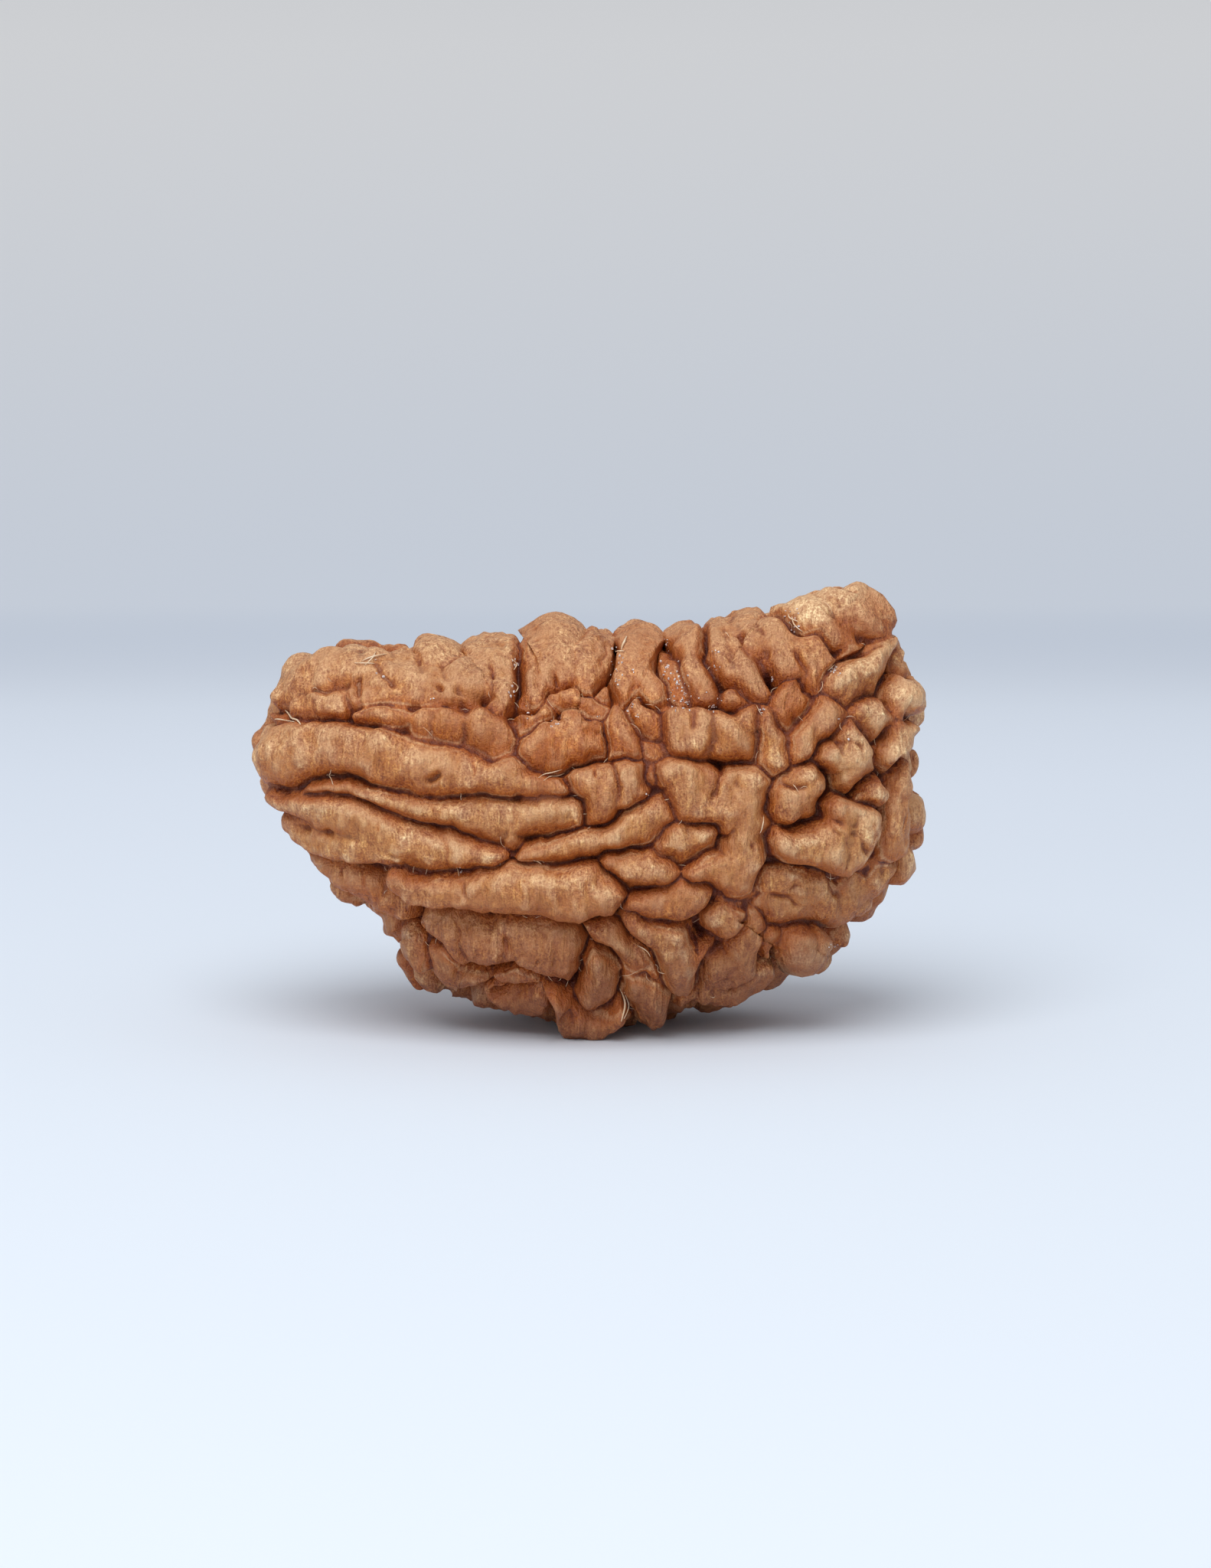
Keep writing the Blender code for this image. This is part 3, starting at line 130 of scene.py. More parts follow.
# %% The long folds that fan out of the tip
FOLDS |= {
    "brow": (1.25, 0.45, [[(-12.9, 11.5, 0.8), (-12.0, 11.55, 0.92), (-11.0, 11.7, 1.0),
        (-10.0, 11.75, 1.02), (-9.0, 11.6, 1.02), (-8.0, 11.25, 0.98), (-7.0, 11.1, 0.98),
        (-6.0, 10.92, 0.95), (-5.0, 10.72, 0.92), (-4.0, 10.6, 0.86), (-3.0, 10.4, 0.75),
        (-2.3, 10.25, 0.55), (-1.6, 10.15, 0.42), (-0.95, 10.15, 0.35)]]),
    "lash": (1.0, 0.7, [[(-11.2, 10.5, 0.1), (-10.0, 10.38, 0.24), (-9.0, 10.1, 0.32),
        (-8.0, 9.8, 0.42), (-7.0, 9.45, 0.5), (-6.0, 9.22, 0.58), (-5.0, 9.1, 0.62), (-4.0, 8.95, 0.75),
        (-3.0, 8.95, 0.85), (-2.0, 9.1, 0.95), (-1.2, 9.3, 0.75), (-0.6, 9.3, 0.5)], [(-3.0, 8.9, 0.8),
        (-2.95, 8.35, 0.45)]]),
    "cheek": (1.3, 0.7, [[(-12.4, 10.15, 0.2), (-11.2, 9.8, 0.42), (-10.0, 9.35, 0.6),
        (-9.0, 8.85, 0.75), (-8.0, 8.4, 0.85), (-7.0, 8.12, 0.88), (-6.0, 7.9, 0.85),
        (-5.0, 7.75, 0.76), (-4.2, 7.65, 0.56), (-3.7, 7.6, 0.34)], [(-11.9, 9.15, 0.15),
        (-11.2, 8.75, 0.38), (-10.4, 8.35, 0.52), (-9.4, 8.1, 0.6), (-8.4, 7.95, 0.55),
        (-7.4, 7.8, 0.5)]]),
    "edge_fold": (0.45, 0.9, [[(-12.9, 9.95, 0.16), (-12.4, 9.2, 0.2), (-11.8, 8.5, 0.22),
        (-11.3, 7.7, 0.25)]]),
    "lip": (1.7, 0.6, [[(-7.7, 7.0, 0.22), (-7.0, 6.65, 0.4), (-6.3, 6.35, 0.52), (-5.5, 6.15, 0.7),
        (-4.8, 6.02, 0.8), (-4.0, 6.0, 0.92), (-3.0, 6.05, 1.0), (-2.0, 6.0, 0.98), (-1.0, 5.9, 0.98),
        (0.0, 5.85, 0.98), (0.7, 5.95, 0.78), (1.3, 6.1, 0.35)]]),
    "jaw": (0.95, 0.7, [[(-10.9, 7.5, 0.4), (-10.2, 7.0, 0.55), (-9.4, 6.6, 0.7), (-8.6, 6.15, 0.85),
        (-7.9, 5.7, 0.95), (-7.35, 5.4, 0.8)]]),
    "jaw_mid": (1.05, 0.7, [[(-6.1, 4.9, 0.7), (-5.4, 4.45, 0.9), (-4.6, 4.1, 1.0), (-3.8, 3.95, 1.0),
        (-3.2, 4.15, 0.9)], [(-3.2, 4.4, 0.75), (-2.2, 4.2, 0.85), (-1.2, 4.0, 0.9), (-0.8, 3.7, 0.9)],
        [(-2.3, 3.5, 0.6), (-1.6, 3.25, 0.95), (-1.1, 3.1, 0.98)]]),
    "jaw_under": (0.6, 0.8, [[(-10.3, 6.2, 0.28), (-9.8, 5.95, 0.28), (-9.2, 5.6, 0.28),
        (-8.6, 5.3, 0.28)]]),
    "chip": (0.75, 0.6, [[(-3.3, 2.75, 0.3), (-2.8, 2.7, 0.34), (-2.3, 2.7, 0.28)]]),
    "heel_a": (0.95, 0.7, [[(-7.0, 4.1, 0.55), (-6.95, 3.3, 0.72), (-6.6, 2.9, 0.5)]]),
    "heel_b": (0.9, 0.7, [[(-5.8, 3.2, 0.55), (-5.8, 2.4, 0.72), (-4.9, 2.4, 0.7), (-4.3, 2.6, 0.5)]]),
    "heel_c": (0.8, 0.7, [[(-3.7, 2.15, 0.4)]]),
    "heel_d": (0.95, 0.7, [[(-3.9, 1.7, 0.5), (-3.2, 1.5, 0.65), (-2.3, 1.5, 0.65), (-1.9, 1.9, 0.5)]]),
    "foot": (1.75, 0.8, [[(-1.5, 2.0, 0.4), (-1.0, 1.3, 0.5), (-0.4, 0.8, 0.65), (0.2, 0.6, 0.75),
        (0.9, 0.8, 0.5), (1.1, 1.2, 0.3)]]),
    "toe": (1.35, 0.7, [[(0.4, 3.2, 0.6), (0.45, 2.5, 0.8), (0.4, 1.7, 0.65), (0.3, 1.2, 0.4)]]),
}
print("the left of the face:", len(FOLDS), "folds so far")

# %% The strands and the apron, down to the right
FOLDS |= {
    "strand_a": (1.15, 0.8, [[(0.3, 4.4, 0.45), (1.0, 4.1, 0.6), (1.7, 3.6, 0.6), (2.3, 3.1, 0.5),
        (2.7, 2.7, 0.35)]]),
    "strand_b": (1.4, 0.85, [[(2.0, 5.0, 0.35), (2.5, 4.5, 0.55), (3.0, 4.1, 0.62), (3.5, 3.6, 0.72),
        (3.9, 3.0, 0.75), (4.0, 2.45, 0.68)]]),
    "strand_c": (1.4, 0.7, [[(2.3, 2.3, 0.7), (2.4, 1.7, 0.85), (2.4, 1.1, 0.75)]]),
    "grain": (0.95, 0.9, [[(1.6, 1.1, 0.33)]]),
    "apron": (0.75, 0.45, [[(4.0, 1.8, 0.6), (4.8, 2.0, 0.9), (5.6, 2.6, 1.1), (6.3, 3.0, 0.8)],
        [(5.6, 1.9, 0.7), (6.5, 2.1, 0.7), (7.0, 2.6, 0.6)], [(6.8, 4.9, 0.5), (6.4, 3.9, 0.6),
        (6.2, 3.2, 0.7)]]),
    "bud": (1.05, 0.85, [[(5.4, 4.9, 0.55), (5.75, 4.7, 0.55)]]),
    "pleat": (0.6, 0.7, [[(7.5, 4.3, 0.35), (7.3, 3.5, 0.35)]]),
    "spur": (1.2, 0.8, [[(8.5, 3.9, 0.7), (8.95, 3.2, 0.82), (9.5, 3.8, 0.75)]]),
    "chin": (0.65, 0.5, [[(7.3, 5.4, 0.65), (8.4, 5.4, 0.85), (9.3, 5.3, 0.8), (10.1, 4.9, 0.7)],
        [(7.5, 6.4, 0.55), (8.7, 6.4, 0.6), (9.3, 5.9, 0.6)], [(10.6, 6.2, 0.55), (11.2, 5.9, 0.65),
        (11.9, 6.9, 0.65)], [(10.4, 5.6, 0.6), (11.0, 5.5, 0.6)]]),
}
print("the lower right:", len(FOLDS), "folds so far")

# %% The middle of the face
FOLDS |= {
    "bone": (1.1, 0.9, [[(-2.5, 7.6, 0.22), (-1.8, 7.65, 0.45), (-1.0, 7.75, 0.58), (0.0, 7.85, 0.6),
        (0.8, 8.1, 0.5), (1.5, 8.4, 0.52), (2.2, 8.75, 0.66), (2.8, 9.0, 0.6)]]),
    "loaf": (1.25, 0.9, [[(0.9, 7.05, 0.3), (1.7, 6.9, 0.62), (2.5, 6.9, 0.75), (3.2, 6.75, 0.45)]]),
    "heart": (1.3, 0.9, [[(1.9, 5.55, 0.25), (2.6, 5.45, 0.5), (3.3, 5.4, 0.65), (3.9, 5.6, 0.75),
        (4.2, 6.1, 0.6)]]),
    "block_a": (1.2, 0.4, [[(-0.4, 10.5, 0.6), (0.3, 10.5, 0.8)], [(0.55, 10.6, 0.75), (0.6, 10.0, 0.8),
        (0.6, 9.5, 0.75)], [(1.2, 10.6, 0.6), (1.75, 10.6, 0.62), (1.7, 10.1, 0.6), (1.6, 9.8, 0.5)]]),
    "block_c": (0.75, 0.6, [[(2.45, 10.6, 0.3)]]),
    "pillar": (1.3, 0.5, [[(6.2, 10.25, 0.82), (6.25, 9.5, 0.88), (6.2, 8.5, 0.88), (6.15, 7.5, 0.88),
        (6.1, 6.9, 0.82)], [(4.3, 6.9, 0.25), (5.0, 7.0, 0.5), (5.8, 6.9, 0.65)], [(5.6, 9.3, 0.6),
        (5.5, 8.6, 0.5)], [(3.05, 10.6, 0.4), (3.6, 10.8, 0.66), (4.2, 10.4, 0.75), (4.7, 10.1, 0.65),
        (5.2, 10.0, 0.6)], [(3.75, 10.0, 0.62), (4.4, 9.6, 0.75), (5.0, 9.4, 0.75)]]),
    "egg": (1.2, 0.9, [[(3.65, 8.05, 0.78), (4.3, 8.15, 0.65), (4.9, 8.3, 0.42)]]),
}
print("the middle:", len(FOLDS), "folds so far")

# %% The row of teeth
FOLDS |= {
    "tooth_ab": (1.15, 0.4, [[(-2.0, 11.9, 0.6), (-1.9, 11.4, 0.65), (-1.2, 11.8, 0.75)],
        [(-1.2, 11.7, 0.8), (-0.3, 11.9, 0.85), (0.3, 11.9, 0.75)], [(-0.5, 12.8, 0.35),
        (-0.4, 12.3, 0.6)], [(0.4, 12.3, 0.45), (0.45, 11.8, 0.45)]]),
    "tooth_c": (1.15, 0.35, [[(1.2, 12.9, 0.32), (1.3, 12.4, 0.45), (1.3, 11.8, 0.5)],
        [(1.6, 12.45, 0.45), (1.75, 11.9, 0.5)]]),
    "tooth_d": (0.85, 0.5, [[(2.15, 13.2, 0.25), (2.5, 12.7, 0.5), (2.8, 12.3, 0.45)]]),
    "tooth_e": (0.65, 0.8, [[(2.6, 11.7, 0.3), (3.0, 11.6, 0.3)]]),
    "tooth_fg": (1.25, 0.5, [[(3.8, 12.6, 0.45), (3.8, 11.9, 0.5)], [(4.4, 12.5, 0.55),
        (4.4, 11.9, 0.6)], [(5.5, 12.2, 0.8), (6.1, 12.1, 0.92)], [(6.5, 12.7, 0.5), (6.4, 12.4, 0.5)],
        [(4.9, 12.2, 0.75), (5.4, 12.1, 0.8)]]),
    "tooth_h": (1.2, 0.8, [[(7.0, 12.8, 0.3), (7.3, 12.3, 0.42), (7.4, 11.8, 0.55), (7.3, 11.3, 0.5)]]),
    "tooth_i": (1.25, 0.8, [[(8.35, 11.65, 0.36), (8.75, 12.2, 0.42), (9.2, 12.7, 0.44),
        (9.65, 13.15, 0.46)]]),
    "wedge": (0.95, 0.3, [[(8.1, 13.4, 0.72)], [(8.0, 14.1, 0.18), (8.0, 13.7, 0.45)],
        [(7.9, 13.0, 0.5)]]),
    "arch": (0.85, 0.5, [[(5.85, 13.5, 0.46), (5.8, 13.75, 0.36)]]),
    "triangle": (0.75, 0.4, [[(0.65, 14.05, 0.2), (0.55, 13.8, 0.38)]]),
    "sill": (0.8, 0.5, [[(-1.3, 13.6, 0.32), (-0.8, 13.7, 0.42), (-0.1, 13.4, 0.42), (0.5, 13.2, 0.3)]]),
    "sill_low": (0.75, 0.5, [[(-2.45, 12.6, 0.4), (-2.1, 12.85, 0.4), (-1.7, 13.1, 0.3)]]),
}
print("the teeth:", len(FOLDS), "folds so far")

# %% The plates of the upper edge, parted by slots
FOLDS |= {
    "plate_b": (0.95, 0.2, [[(-2.1, 16.6, 0.6), (-2.1, 15.5, 0.65), (-2.1, 14.6, 0.7),
        (-2.3, 13.8, 0.45), (-2.35, 13.4, 0.3)], [(-1.3, 17.2, 0.45), (-1.25, 16.1, 0.5),
        (-1.25, 15.2, 0.65), (-1.3, 14.6, 0.6)], [(0.3, 17.0, 0.65), (0.3, 15.9, 0.7),
        (0.1, 15.2, 0.75), (0.0, 14.5, 0.55), (-0.1, 14.0, 0.3)], [(-1.0, 15.3, 0.6), (-0.4, 15.3, 0.7)]]),
    "plate_c": (1.05, 0.2, [[(2.35, 17.0, 0.6), (2.35, 16.0, 0.65), (2.3, 15.3, 0.72),
        (2.25, 14.7, 0.8)], [(1.75, 14.4, 0.5), (1.75, 13.8, 0.45)], [(2.7, 14.3, 0.42),
        (3.0, 13.7, 0.3)]]),
    "gap_floor": (0.6, 0.3, [[(3.45, 16.4, 0.3), (3.5, 15.2, 0.35), (3.7, 14.3, 0.36),
        (3.9, 13.7, 0.33)]]),
    "plate_d": (1.05, 0.25, [[(4.3, 17.2, 0.7), (4.3, 16.2, 0.62), (4.4, 15.5, 0.55),
        (4.55, 14.8, 0.48), (4.7, 13.8, 0.48)]]),
    "plate_e": (1.05, 0.25, [[(5.85, 17.3, 0.6), (5.85, 16.2, 0.6), (6.0, 15.4, 0.68),
        (6.4, 14.6, 0.72), (6.75, 13.9, 0.45)], [(7.1, 17.5, 0.65), (7.1, 16.5, 0.7),
        (7.1, 15.7, 0.65)], [(7.9, 16.2, 0.6), (7.95, 15.4, 0.65), (8.0, 14.9, 0.45)],
        [(8.8, 15.4, 0.6), (9.3, 15.3, 0.5), (9.1, 14.7, 0.5), (8.95, 14.2, 0.35)]]),
}
print("the plates:", len(FOLDS), "folds so far")

# %% The crown knob and the pebbles of the right end
FOLDS |= {
    "crown": (1.25, 0.4, [[(8.6, 16.7, 0.62), (9.3, 16.8, 0.95), (10.2, 17.1, 1.0), (11.1, 17.4, 0.65),
        (11.7, 17.5, 0.4)], [(9.5, 16.4, 0.6), (9.9, 16.1, 0.4)], [(9.3, 18.0, 0.9), (10.5, 18.3, 0.9),
        (11.5, 18.0, 0.6)], [(10.4, 16.7, 0.6), (11.2, 16.8, 0.6)], [(8.4, 17.4, 0.6), (8.9, 17.6, 0.6)]]),
    "ear": (1.35, 0.7, [[(10.1, 14.2, 0.62), (10.8, 14.35, 0.95), (11.3, 14.9, 0.98),
        (11.5, 15.6, 0.78), (11.6, 16.3, 0.6)]]),
    "ear_in": (1.05, 0.8, [[(10.3, 15.7, 0.33), (10.75, 15.95, 0.42), (11.0, 16.25, 0.4)]]),
    "ear_back": (0.75, 0.8, [[(12.0, 16.2, 0.35), (12.3, 15.5, 0.4), (12.4, 14.8, 0.4)]]),
    "pebble_a": (1.3, 0.85, [[(12.6, 13.95, 0.8), (12.95, 13.65, 0.82)]]),
    "pebble_b": (1.25, 0.85, [[(12.9, 12.4, 0.6), (12.6, 12.1, 0.8), (12.1, 11.7, 0.7)]]),
    "pebble_c": (1.1, 0.9, [[(10.8, 13.15, 0.42), (11.4, 13.1, 0.62), (11.45, 12.75, 0.55)]]),
    "pebble_d": (1.35, 0.75, [[(10.4, 12.25, 0.48), (10.5, 11.6, 0.88), (10.55, 10.95, 0.82)],
        [(9.55, 11.55, 0.42), (10.1, 11.3, 0.6)]]),
    "pebble_e": (1.15, 0.8, [[(11.1, 10.2, 0.4), (11.45, 9.85, 0.46)]]),
    "pebble_f": (1.3, 0.8, [[(8.7, 10.7, 0.55), (8.6, 10.0, 0.98), (8.0, 9.6, 0.78)]]),
    "fist": (1.55, 0.65, [[(7.6, 8.15, 0.5), (8.3, 8.0, 0.66), (9.1, 8.0, 0.78), (10.0, 7.85, 0.8),
        (10.7, 7.9, 0.8), (11.0, 8.4, 0.66)], [(10.0, 9.5, 0.42), (10.5, 9.2, 0.5), (11.0, 8.9, 0.6)],
        [(10.1, 8.8, 0.5), (10.7, 8.5, 0.7)]]),
    "rim": (0.95, 0.7, [[(12.6, 11.2, 0.55), (12.6, 10.4, 0.7), (12.5, 9.7, 0.78), (12.6, 8.8, 0.8),
        (12.5, 8.0, 0.75)]]),
}
print(len(FOLDS), "folds have a stroke of their own")

# %% [markdown]
# ## Tilted folds, and folds grown together
# Some folds lie like roof tiles, with one edge higher than the other. A tilt says how much, and
# the rest are tilted a little anyway. In other places two folds have grown together, and the
# groove between them fades out. Deleting the groove would change the folds around it, so each
# such place is kept as (across, up, reach), and the groove is only made shallow there.

# %% Tilted folds, and folds grown together
TILTS = {
    "brow": 0.1, "lip": -0.08, "jaw_mid": -0.12, "block_a": 0.12, "tooth_ab": 0.2, "tooth_c": 0.2,
    "terrace": 0.3, "sill": 0.1, "tooth_fg": 0.1, "wedge": 0.15, "plate_b": 0.14, "plate_c": 0.12,
    "plate_d": 0.12, "plate_e": 0.14,
}
A_LITTLE_TILT = 0.04
GROWN_TOGETHER = [
    (-1.7, 9.85, 0.8), (6.0, 5.95, 0.85), (11.6, 16.6, 0.7), (7.0, 5.7, 0.5), (11.4, 6.9, 0.5),
    (12.0, 7.3, 0.6), (-2.9, 16.0, 0.45), (-7.0, 15.9, 0.5), (-7.8, 15.9, 0.6), (2.6, 11.5, 0.45),
    (10.3, 16.1, 0.45), (9.3, 16.0, 0.5), (4.9, 3.6, 0.5), (-3.6, 15.4, 0.4), (-12.4, 10.2, 0.5),
    (1.8, 3.0, 0.4), (7.4, 4.0, 0.5), (-5.3, 3.6, 0.5), (-8.6, 13.3, 0.5), (-7.6, 13.2, 0.5),
    (-6.2, 13.1, 0.6), (-5.0, 13.0, 0.6), (-4.0, 12.8, 0.6), (-3.3, 12.4, 0.5), (-6.6, 12.05, 0.7),
    (-5.4, 11.8, 0.7), (-4.3, 11.55, 0.7), (-3.4, 11.4, 0.5), (-7.9, 12.3, 0.5), (12.2, 12.9, 0.5),
    (11.9, 16.0, 0.6), (0.3, 13.4, 0.6), (-1.7, 13.3, 0.5), (-2.0, 12.4, 0.4),
]
print(len(TILTS), "folds are tilted, and grooves fade out in", len(GROWN_TOGETHER), "places")

# %% [markdown]
# ## The rear feet
# The stone can only stand on three points. One is the lowest fold of the face, and the other two
# are these low folds at the back.

# %% The strokes of the rear feet
REAR = {
    "rear_foot_left": (1.15, 0.9, [[(-1.2, 0.9, 0.9), (-1.2, 1.6, 0.9)]]),
    "rear_foot_right": (1.3, 0.9, [[(3.0, 1.0, 0.9), (3.0, 1.8, 0.9)]]),
}
print(len(REAR), "folds at the back of the foot")

# %% [markdown]
# ## Cracks and pits
# Short cracks cross some of the folds, and small pits go deep between them. They are too narrow
# to be strokes, so each is a thin dent: its depth, its half width and where it runs.

# %% The strokes of the cracks and pits
CRACKS = [
    (0.6, 0.1, [(-12.2, 9.5), (-11.5, 9.25), (-10.7, 8.9), (-10.0, 8.7)]),
    (0.35, 0.08, [(10.6, 10.15), (11.0, 10.2), (11.5, 10.5)]),
    (0.45, 0.09, [(9.9, 15.6), (10.4, 15.3), (10.9, 15.45), (11.3, 15.8)]),
    (0.5, 0.1, [(-6.2, 10.6), (-5.7, 10.75)]), (0.35, 0.1, [(-4.8, 6.7), (-4.5, 6.2)]),
    (0.35, 0.1, [(7.6, 10.25), (8.0, 10.2), (8.5, 10.3)]),
    (0.35, 0.08, [(10.1, 8.6), (10.5, 8.55), (10.7, 8.2), (10.9, 8.0)]),
    (0.3, 0.1, [(-8.6, 14.5), (-8.3, 14.2), (-7.8, 14.0), (-7.3, 13.95)]),
    (0.25, 0.1, [(-10.9, 13.8), (-10.3, 13.85), (-9.8, 13.8)]),
    (0.55, 0.16, [(-5.5, 16.0), (-5.35, 15.5), (-5.3, 15.0)]),
    (0.3, 0.16, [(-9.6, 13.6), (-9.65, 13.1), (-9.6, 12.7)]),
    (0.2, 0.12, [(-6.95, 13.1), (-6.95, 12.7), (-7.0, 12.2)]),
    (0.4, 0.1, [(-3.0, 13.3), (-3.05, 12.7), (-2.95, 12.2)]),
    (0.9, 0.18, [(-3.0, 15.4), (-2.9, 14.7), (-2.85, 14.1), (-2.7, 13.6), (-2.5, 13.15)]),
    (0.45, 0.12, [(5.35, 10.95), (5.2, 10.5), (5.05, 10.1)]),
    (0.25, 0.1, [(4.9, 9.9), (4.7, 9.5), (4.8, 9.1)]),
    (0.4, 0.1, [(1.15, 11.1), (1.2, 10.5), (1.35, 9.9), (1.5, 9.4)]),
    (0.4, 0.1, [(9.5, 9.1), (9.9, 8.85), (10.3, 8.85)]),
    (0.2, 0.15, [(-8.2, 15.9), (-8.2, 15.4), (-8.5, 15.1)]),
    (0.3, 0.08, [(9.6, 11.95), (10.1, 12.0), (10.4, 11.85)]),
    (0.3, 0.08, [(5.4, 2.3), (5.7, 2.1), (6.2, 2.15)]),
    (0.4, 0.09, [(-1.4, 15.3), (-1.25, 14.8), (-1.2, 14.4)]),
    (0.6, 0.14, [(-0.5, 17.0), (-0.5, 16.5), (-0.5, 16.1)]),
    (0.15, 0.15, [(-0.5, 16.0), (-0.55, 15.2)]),
    (0.95, 0.2, [(1.35, 16.1), (1.3, 15.4), (1.15, 14.8), (1.15, 14.1), (1.35, 13.5)]),
    (0.35, 0.1, [(2.05, 15.0), (2.05, 14.5), (2.15, 13.9)]),
    (0.95, 0.18, [(5.1, 16.4), (5.1, 15.6), (5.2, 14.9), (5.35, 14.1)]),
    (0.45, 0.12, [(6.5, 15.7), (6.65, 15.2), (7.1, 14.8), (7.35, 14.35)]),
    (0.5, 0.12, [(7.45, 15.2), (7.4, 14.6), (7.4, 14.0)]),
    (0.25, 0.1, [(7.6, 16.6), (7.55, 16.1), (7.4, 15.7)]),
    (0.5, 0.11, [(8.5, 15.3), (8.65, 14.7), (8.65, 13.9)]),
    (0.3, 0.12, [(8.5, 16.0), (9.2, 15.9), (9.8, 15.6)]),
    (0.3, 0.1, [(8.0, 16.9), (8.2, 16.5), (8.5, 16.1)]),
    (0.25, 0.1, [(4.95, 12.9), (5.0, 12.3), (4.9, 11.7)]), (0.15, 0.1, [(4.2, 12.9), (4.2, 12.4)]),
    (0.3, 0.08, [(10.5, 17.7), (10.55, 17.4), (10.9, 17.25), (11.4, 17.3)]),
    (0.25, 0.08, [(5.2, 8.1), (5.5, 8.2), (5.6, 8.5)]),
    (0.25, 0.1, [(7.5, 5.95), (8.1, 5.8), (8.4, 5.5)]),
    (0.35, 0.12, [(9.75, 6.9), (9.8, 6.4), (9.95, 5.9)]),
    (0.25, 0.1, [(-3.1, 4.9), (-3.2, 4.4), (-3.0, 3.9)]),
    (0.3, 0.08, [(-3.0, 3.5), (-2.6, 3.2), (-2.3, 3.0)]),
    (0.3, 0.1, [(-1.0, 10.0), (-0.6, 9.9), (-0.2, 9.6)]), (0.8, 0.2, [(-5.05, 13.2), (-4.85, 13.1)]),
    (0.5, 0.12, [(-4.25, 13.5), (-4.15, 13.45)]), (0.6, 0.13, [(-6.15, 13.85), (-6.05, 13.75)]),
    (0.7, 0.14, [(-9.2, 14.0), (-9.1, 13.75)]), (0.6, 0.12, [(-2.9, 12.75), (-2.85, 12.6)]),
    (0.7, 0.2, [(4.75, 4.2), (4.75, 4.05)]), (0.6, 0.2, [(7.65, 3.6), (7.65, 3.4)]),
    (0.7, 0.22, [(-0.6, 1.6), (-0.5, 1.4)]), (0.5, 0.15, [(-3.6, 2.05), (-3.6, 1.95)]),
    (0.5, 0.14, [(-12.9, 11.05), (-12.85, 10.95)]), (0.7, 0.16, [(-1.25, 12.9), (-1.1, 12.8)]),
    (1.0, 0.16, [(2.65, 13.4), (2.85, 13.3)]), (0.5, 0.12, [(-2.8, 9.85), (-2.8, 9.8)]),
]
print(len(CRACKS), "cracks and pits")

# %% [markdown]
# ## A smooth body first
# Before any fold there is a smooth half-moon, thick in the middle and thin at its rim. We could
# start from a scaled ball, but then the tip and the knob would be missing. Here the outline's
# distance from a point in the middle, the heart, sets how far the body reaches in each direction.

# %% How far the outline is from the heart
def outline_radius(angle):
    """Distance from the heart to the outline, along a smooth curve through the outline's points."""
    points = np.array(OUTLINE) - np.array(HEART)
    a = np.arctan2(points[:, 1], points[:, 0])
    r = np.hypot(points[:, 0], points[:, 1])
    order = np.argsort(a)
    a = a[order]
    r = r[order]
    a = np.concatenate([a[-3:] - 2 * np.pi, a, a[:3] + 2 * np.pi])
    r = np.concatenate([r[-3:], r, r[:3]])
    i = np.clip(np.searchsorted(a, angle) - 1, 1, len(a) - 3)
    span = a[i + 1] - a[i]
    t = (angle - a[i]) / span
    start = (r[i + 1] - r[i - 1]) / (a[i + 1] - a[i - 1]) * span
    end = (r[i + 2] - r[i]) / (a[i + 2] - a[i]) * span
    near = (2 * t**3 - 3 * t**2 + 1) * r[i] + (t**3 - 2 * t**2 + t) * start
    return near + (3 * t**2 - 2 * t**3) * r[i + 1] + (t**3 - t**2) * end


def smooth_radius(angle):
    """The outline with its small steps ironed out, for the middle of the face."""
    turn = np.linspace(-np.pi, np.pi, 256, endpoint=False)
    r = outline_radius(turn)
    out = np.full(np.shape(angle), r.mean())
    for k in range(1, 6):
        out = out + 2 * (r * np.cos(k * turn)).mean() * np.cos(k * angle)
        out = out + 2 * (r * np.sin(k * turn)).mean() * np.sin(k * angle)
    return out


half_turn = np.array([0.0, np.pi])
print("from the heart to the right and left ends:", outline_radius(half_turn).round(1), "mm")

# %% The body's points, and which way is out
def body(directions):
    """Points of the smooth body in these directions from its heart: across, depth and up."""
    s = np.hypot(directions[:, 0], directions[:, 2])
    angle = np.arctan2(directions[:, 2], directions[:, 0])
    detail = s**5
    reach = s * (smooth_radius(angle) * (1 - detail) + outline_radius(angle) * detail)
    y = directions[:, 1]
    deep = np.where(y < 0, FACE_DEPTH, BACK_DEPTH) * np.sign(y) * np.abs(y) ** 0.92
    up = reach * np.sin(angle)
    return np.stack([HEART[0] + reach * np.cos(angle), deep - up * SLANT, HEART[1] + up], 1)


def unit(vectors):
    return vectors / np.linalg.norm(vectors, axis=1, keepdims=True)


def body_normals(directions):
    """Which way is out, at the same points."""
    step = 1e-3
    helper = np.where(np.abs(directions[:, :1]) < 0.8, [[1.0, 0, 0]], [[0, 0, 1.0]])
    first = unit(np.cross(directions, helper))
    second = np.cross(directions, first)
    a = body(unit(directions + step * first)) - body(unit(directions - step * first))
    b = body(unit(directions + step * second)) - body(unit(directions - step * second))
    normals = unit(np.cross(a, b))
    outward = np.sign((normals * directions).sum(1).mean())
    return normals * outward


tip_and_knob = np.array([[-1.0, 0, 0], [1.0, 0, 0]])
print("the body's ends are at", body(tip_and_knob)[:, 0].round(1), "mm")

# %% [markdown]
# ## Strokes that lie on the body
# A stroke is drawn flat, as on paper, but the fold has to lie on a round body. So each point of a
# stroke is pushed onto the body at the place that looks right from the front. Points drawn
# beyond the rim roll over the edge and go on behind.

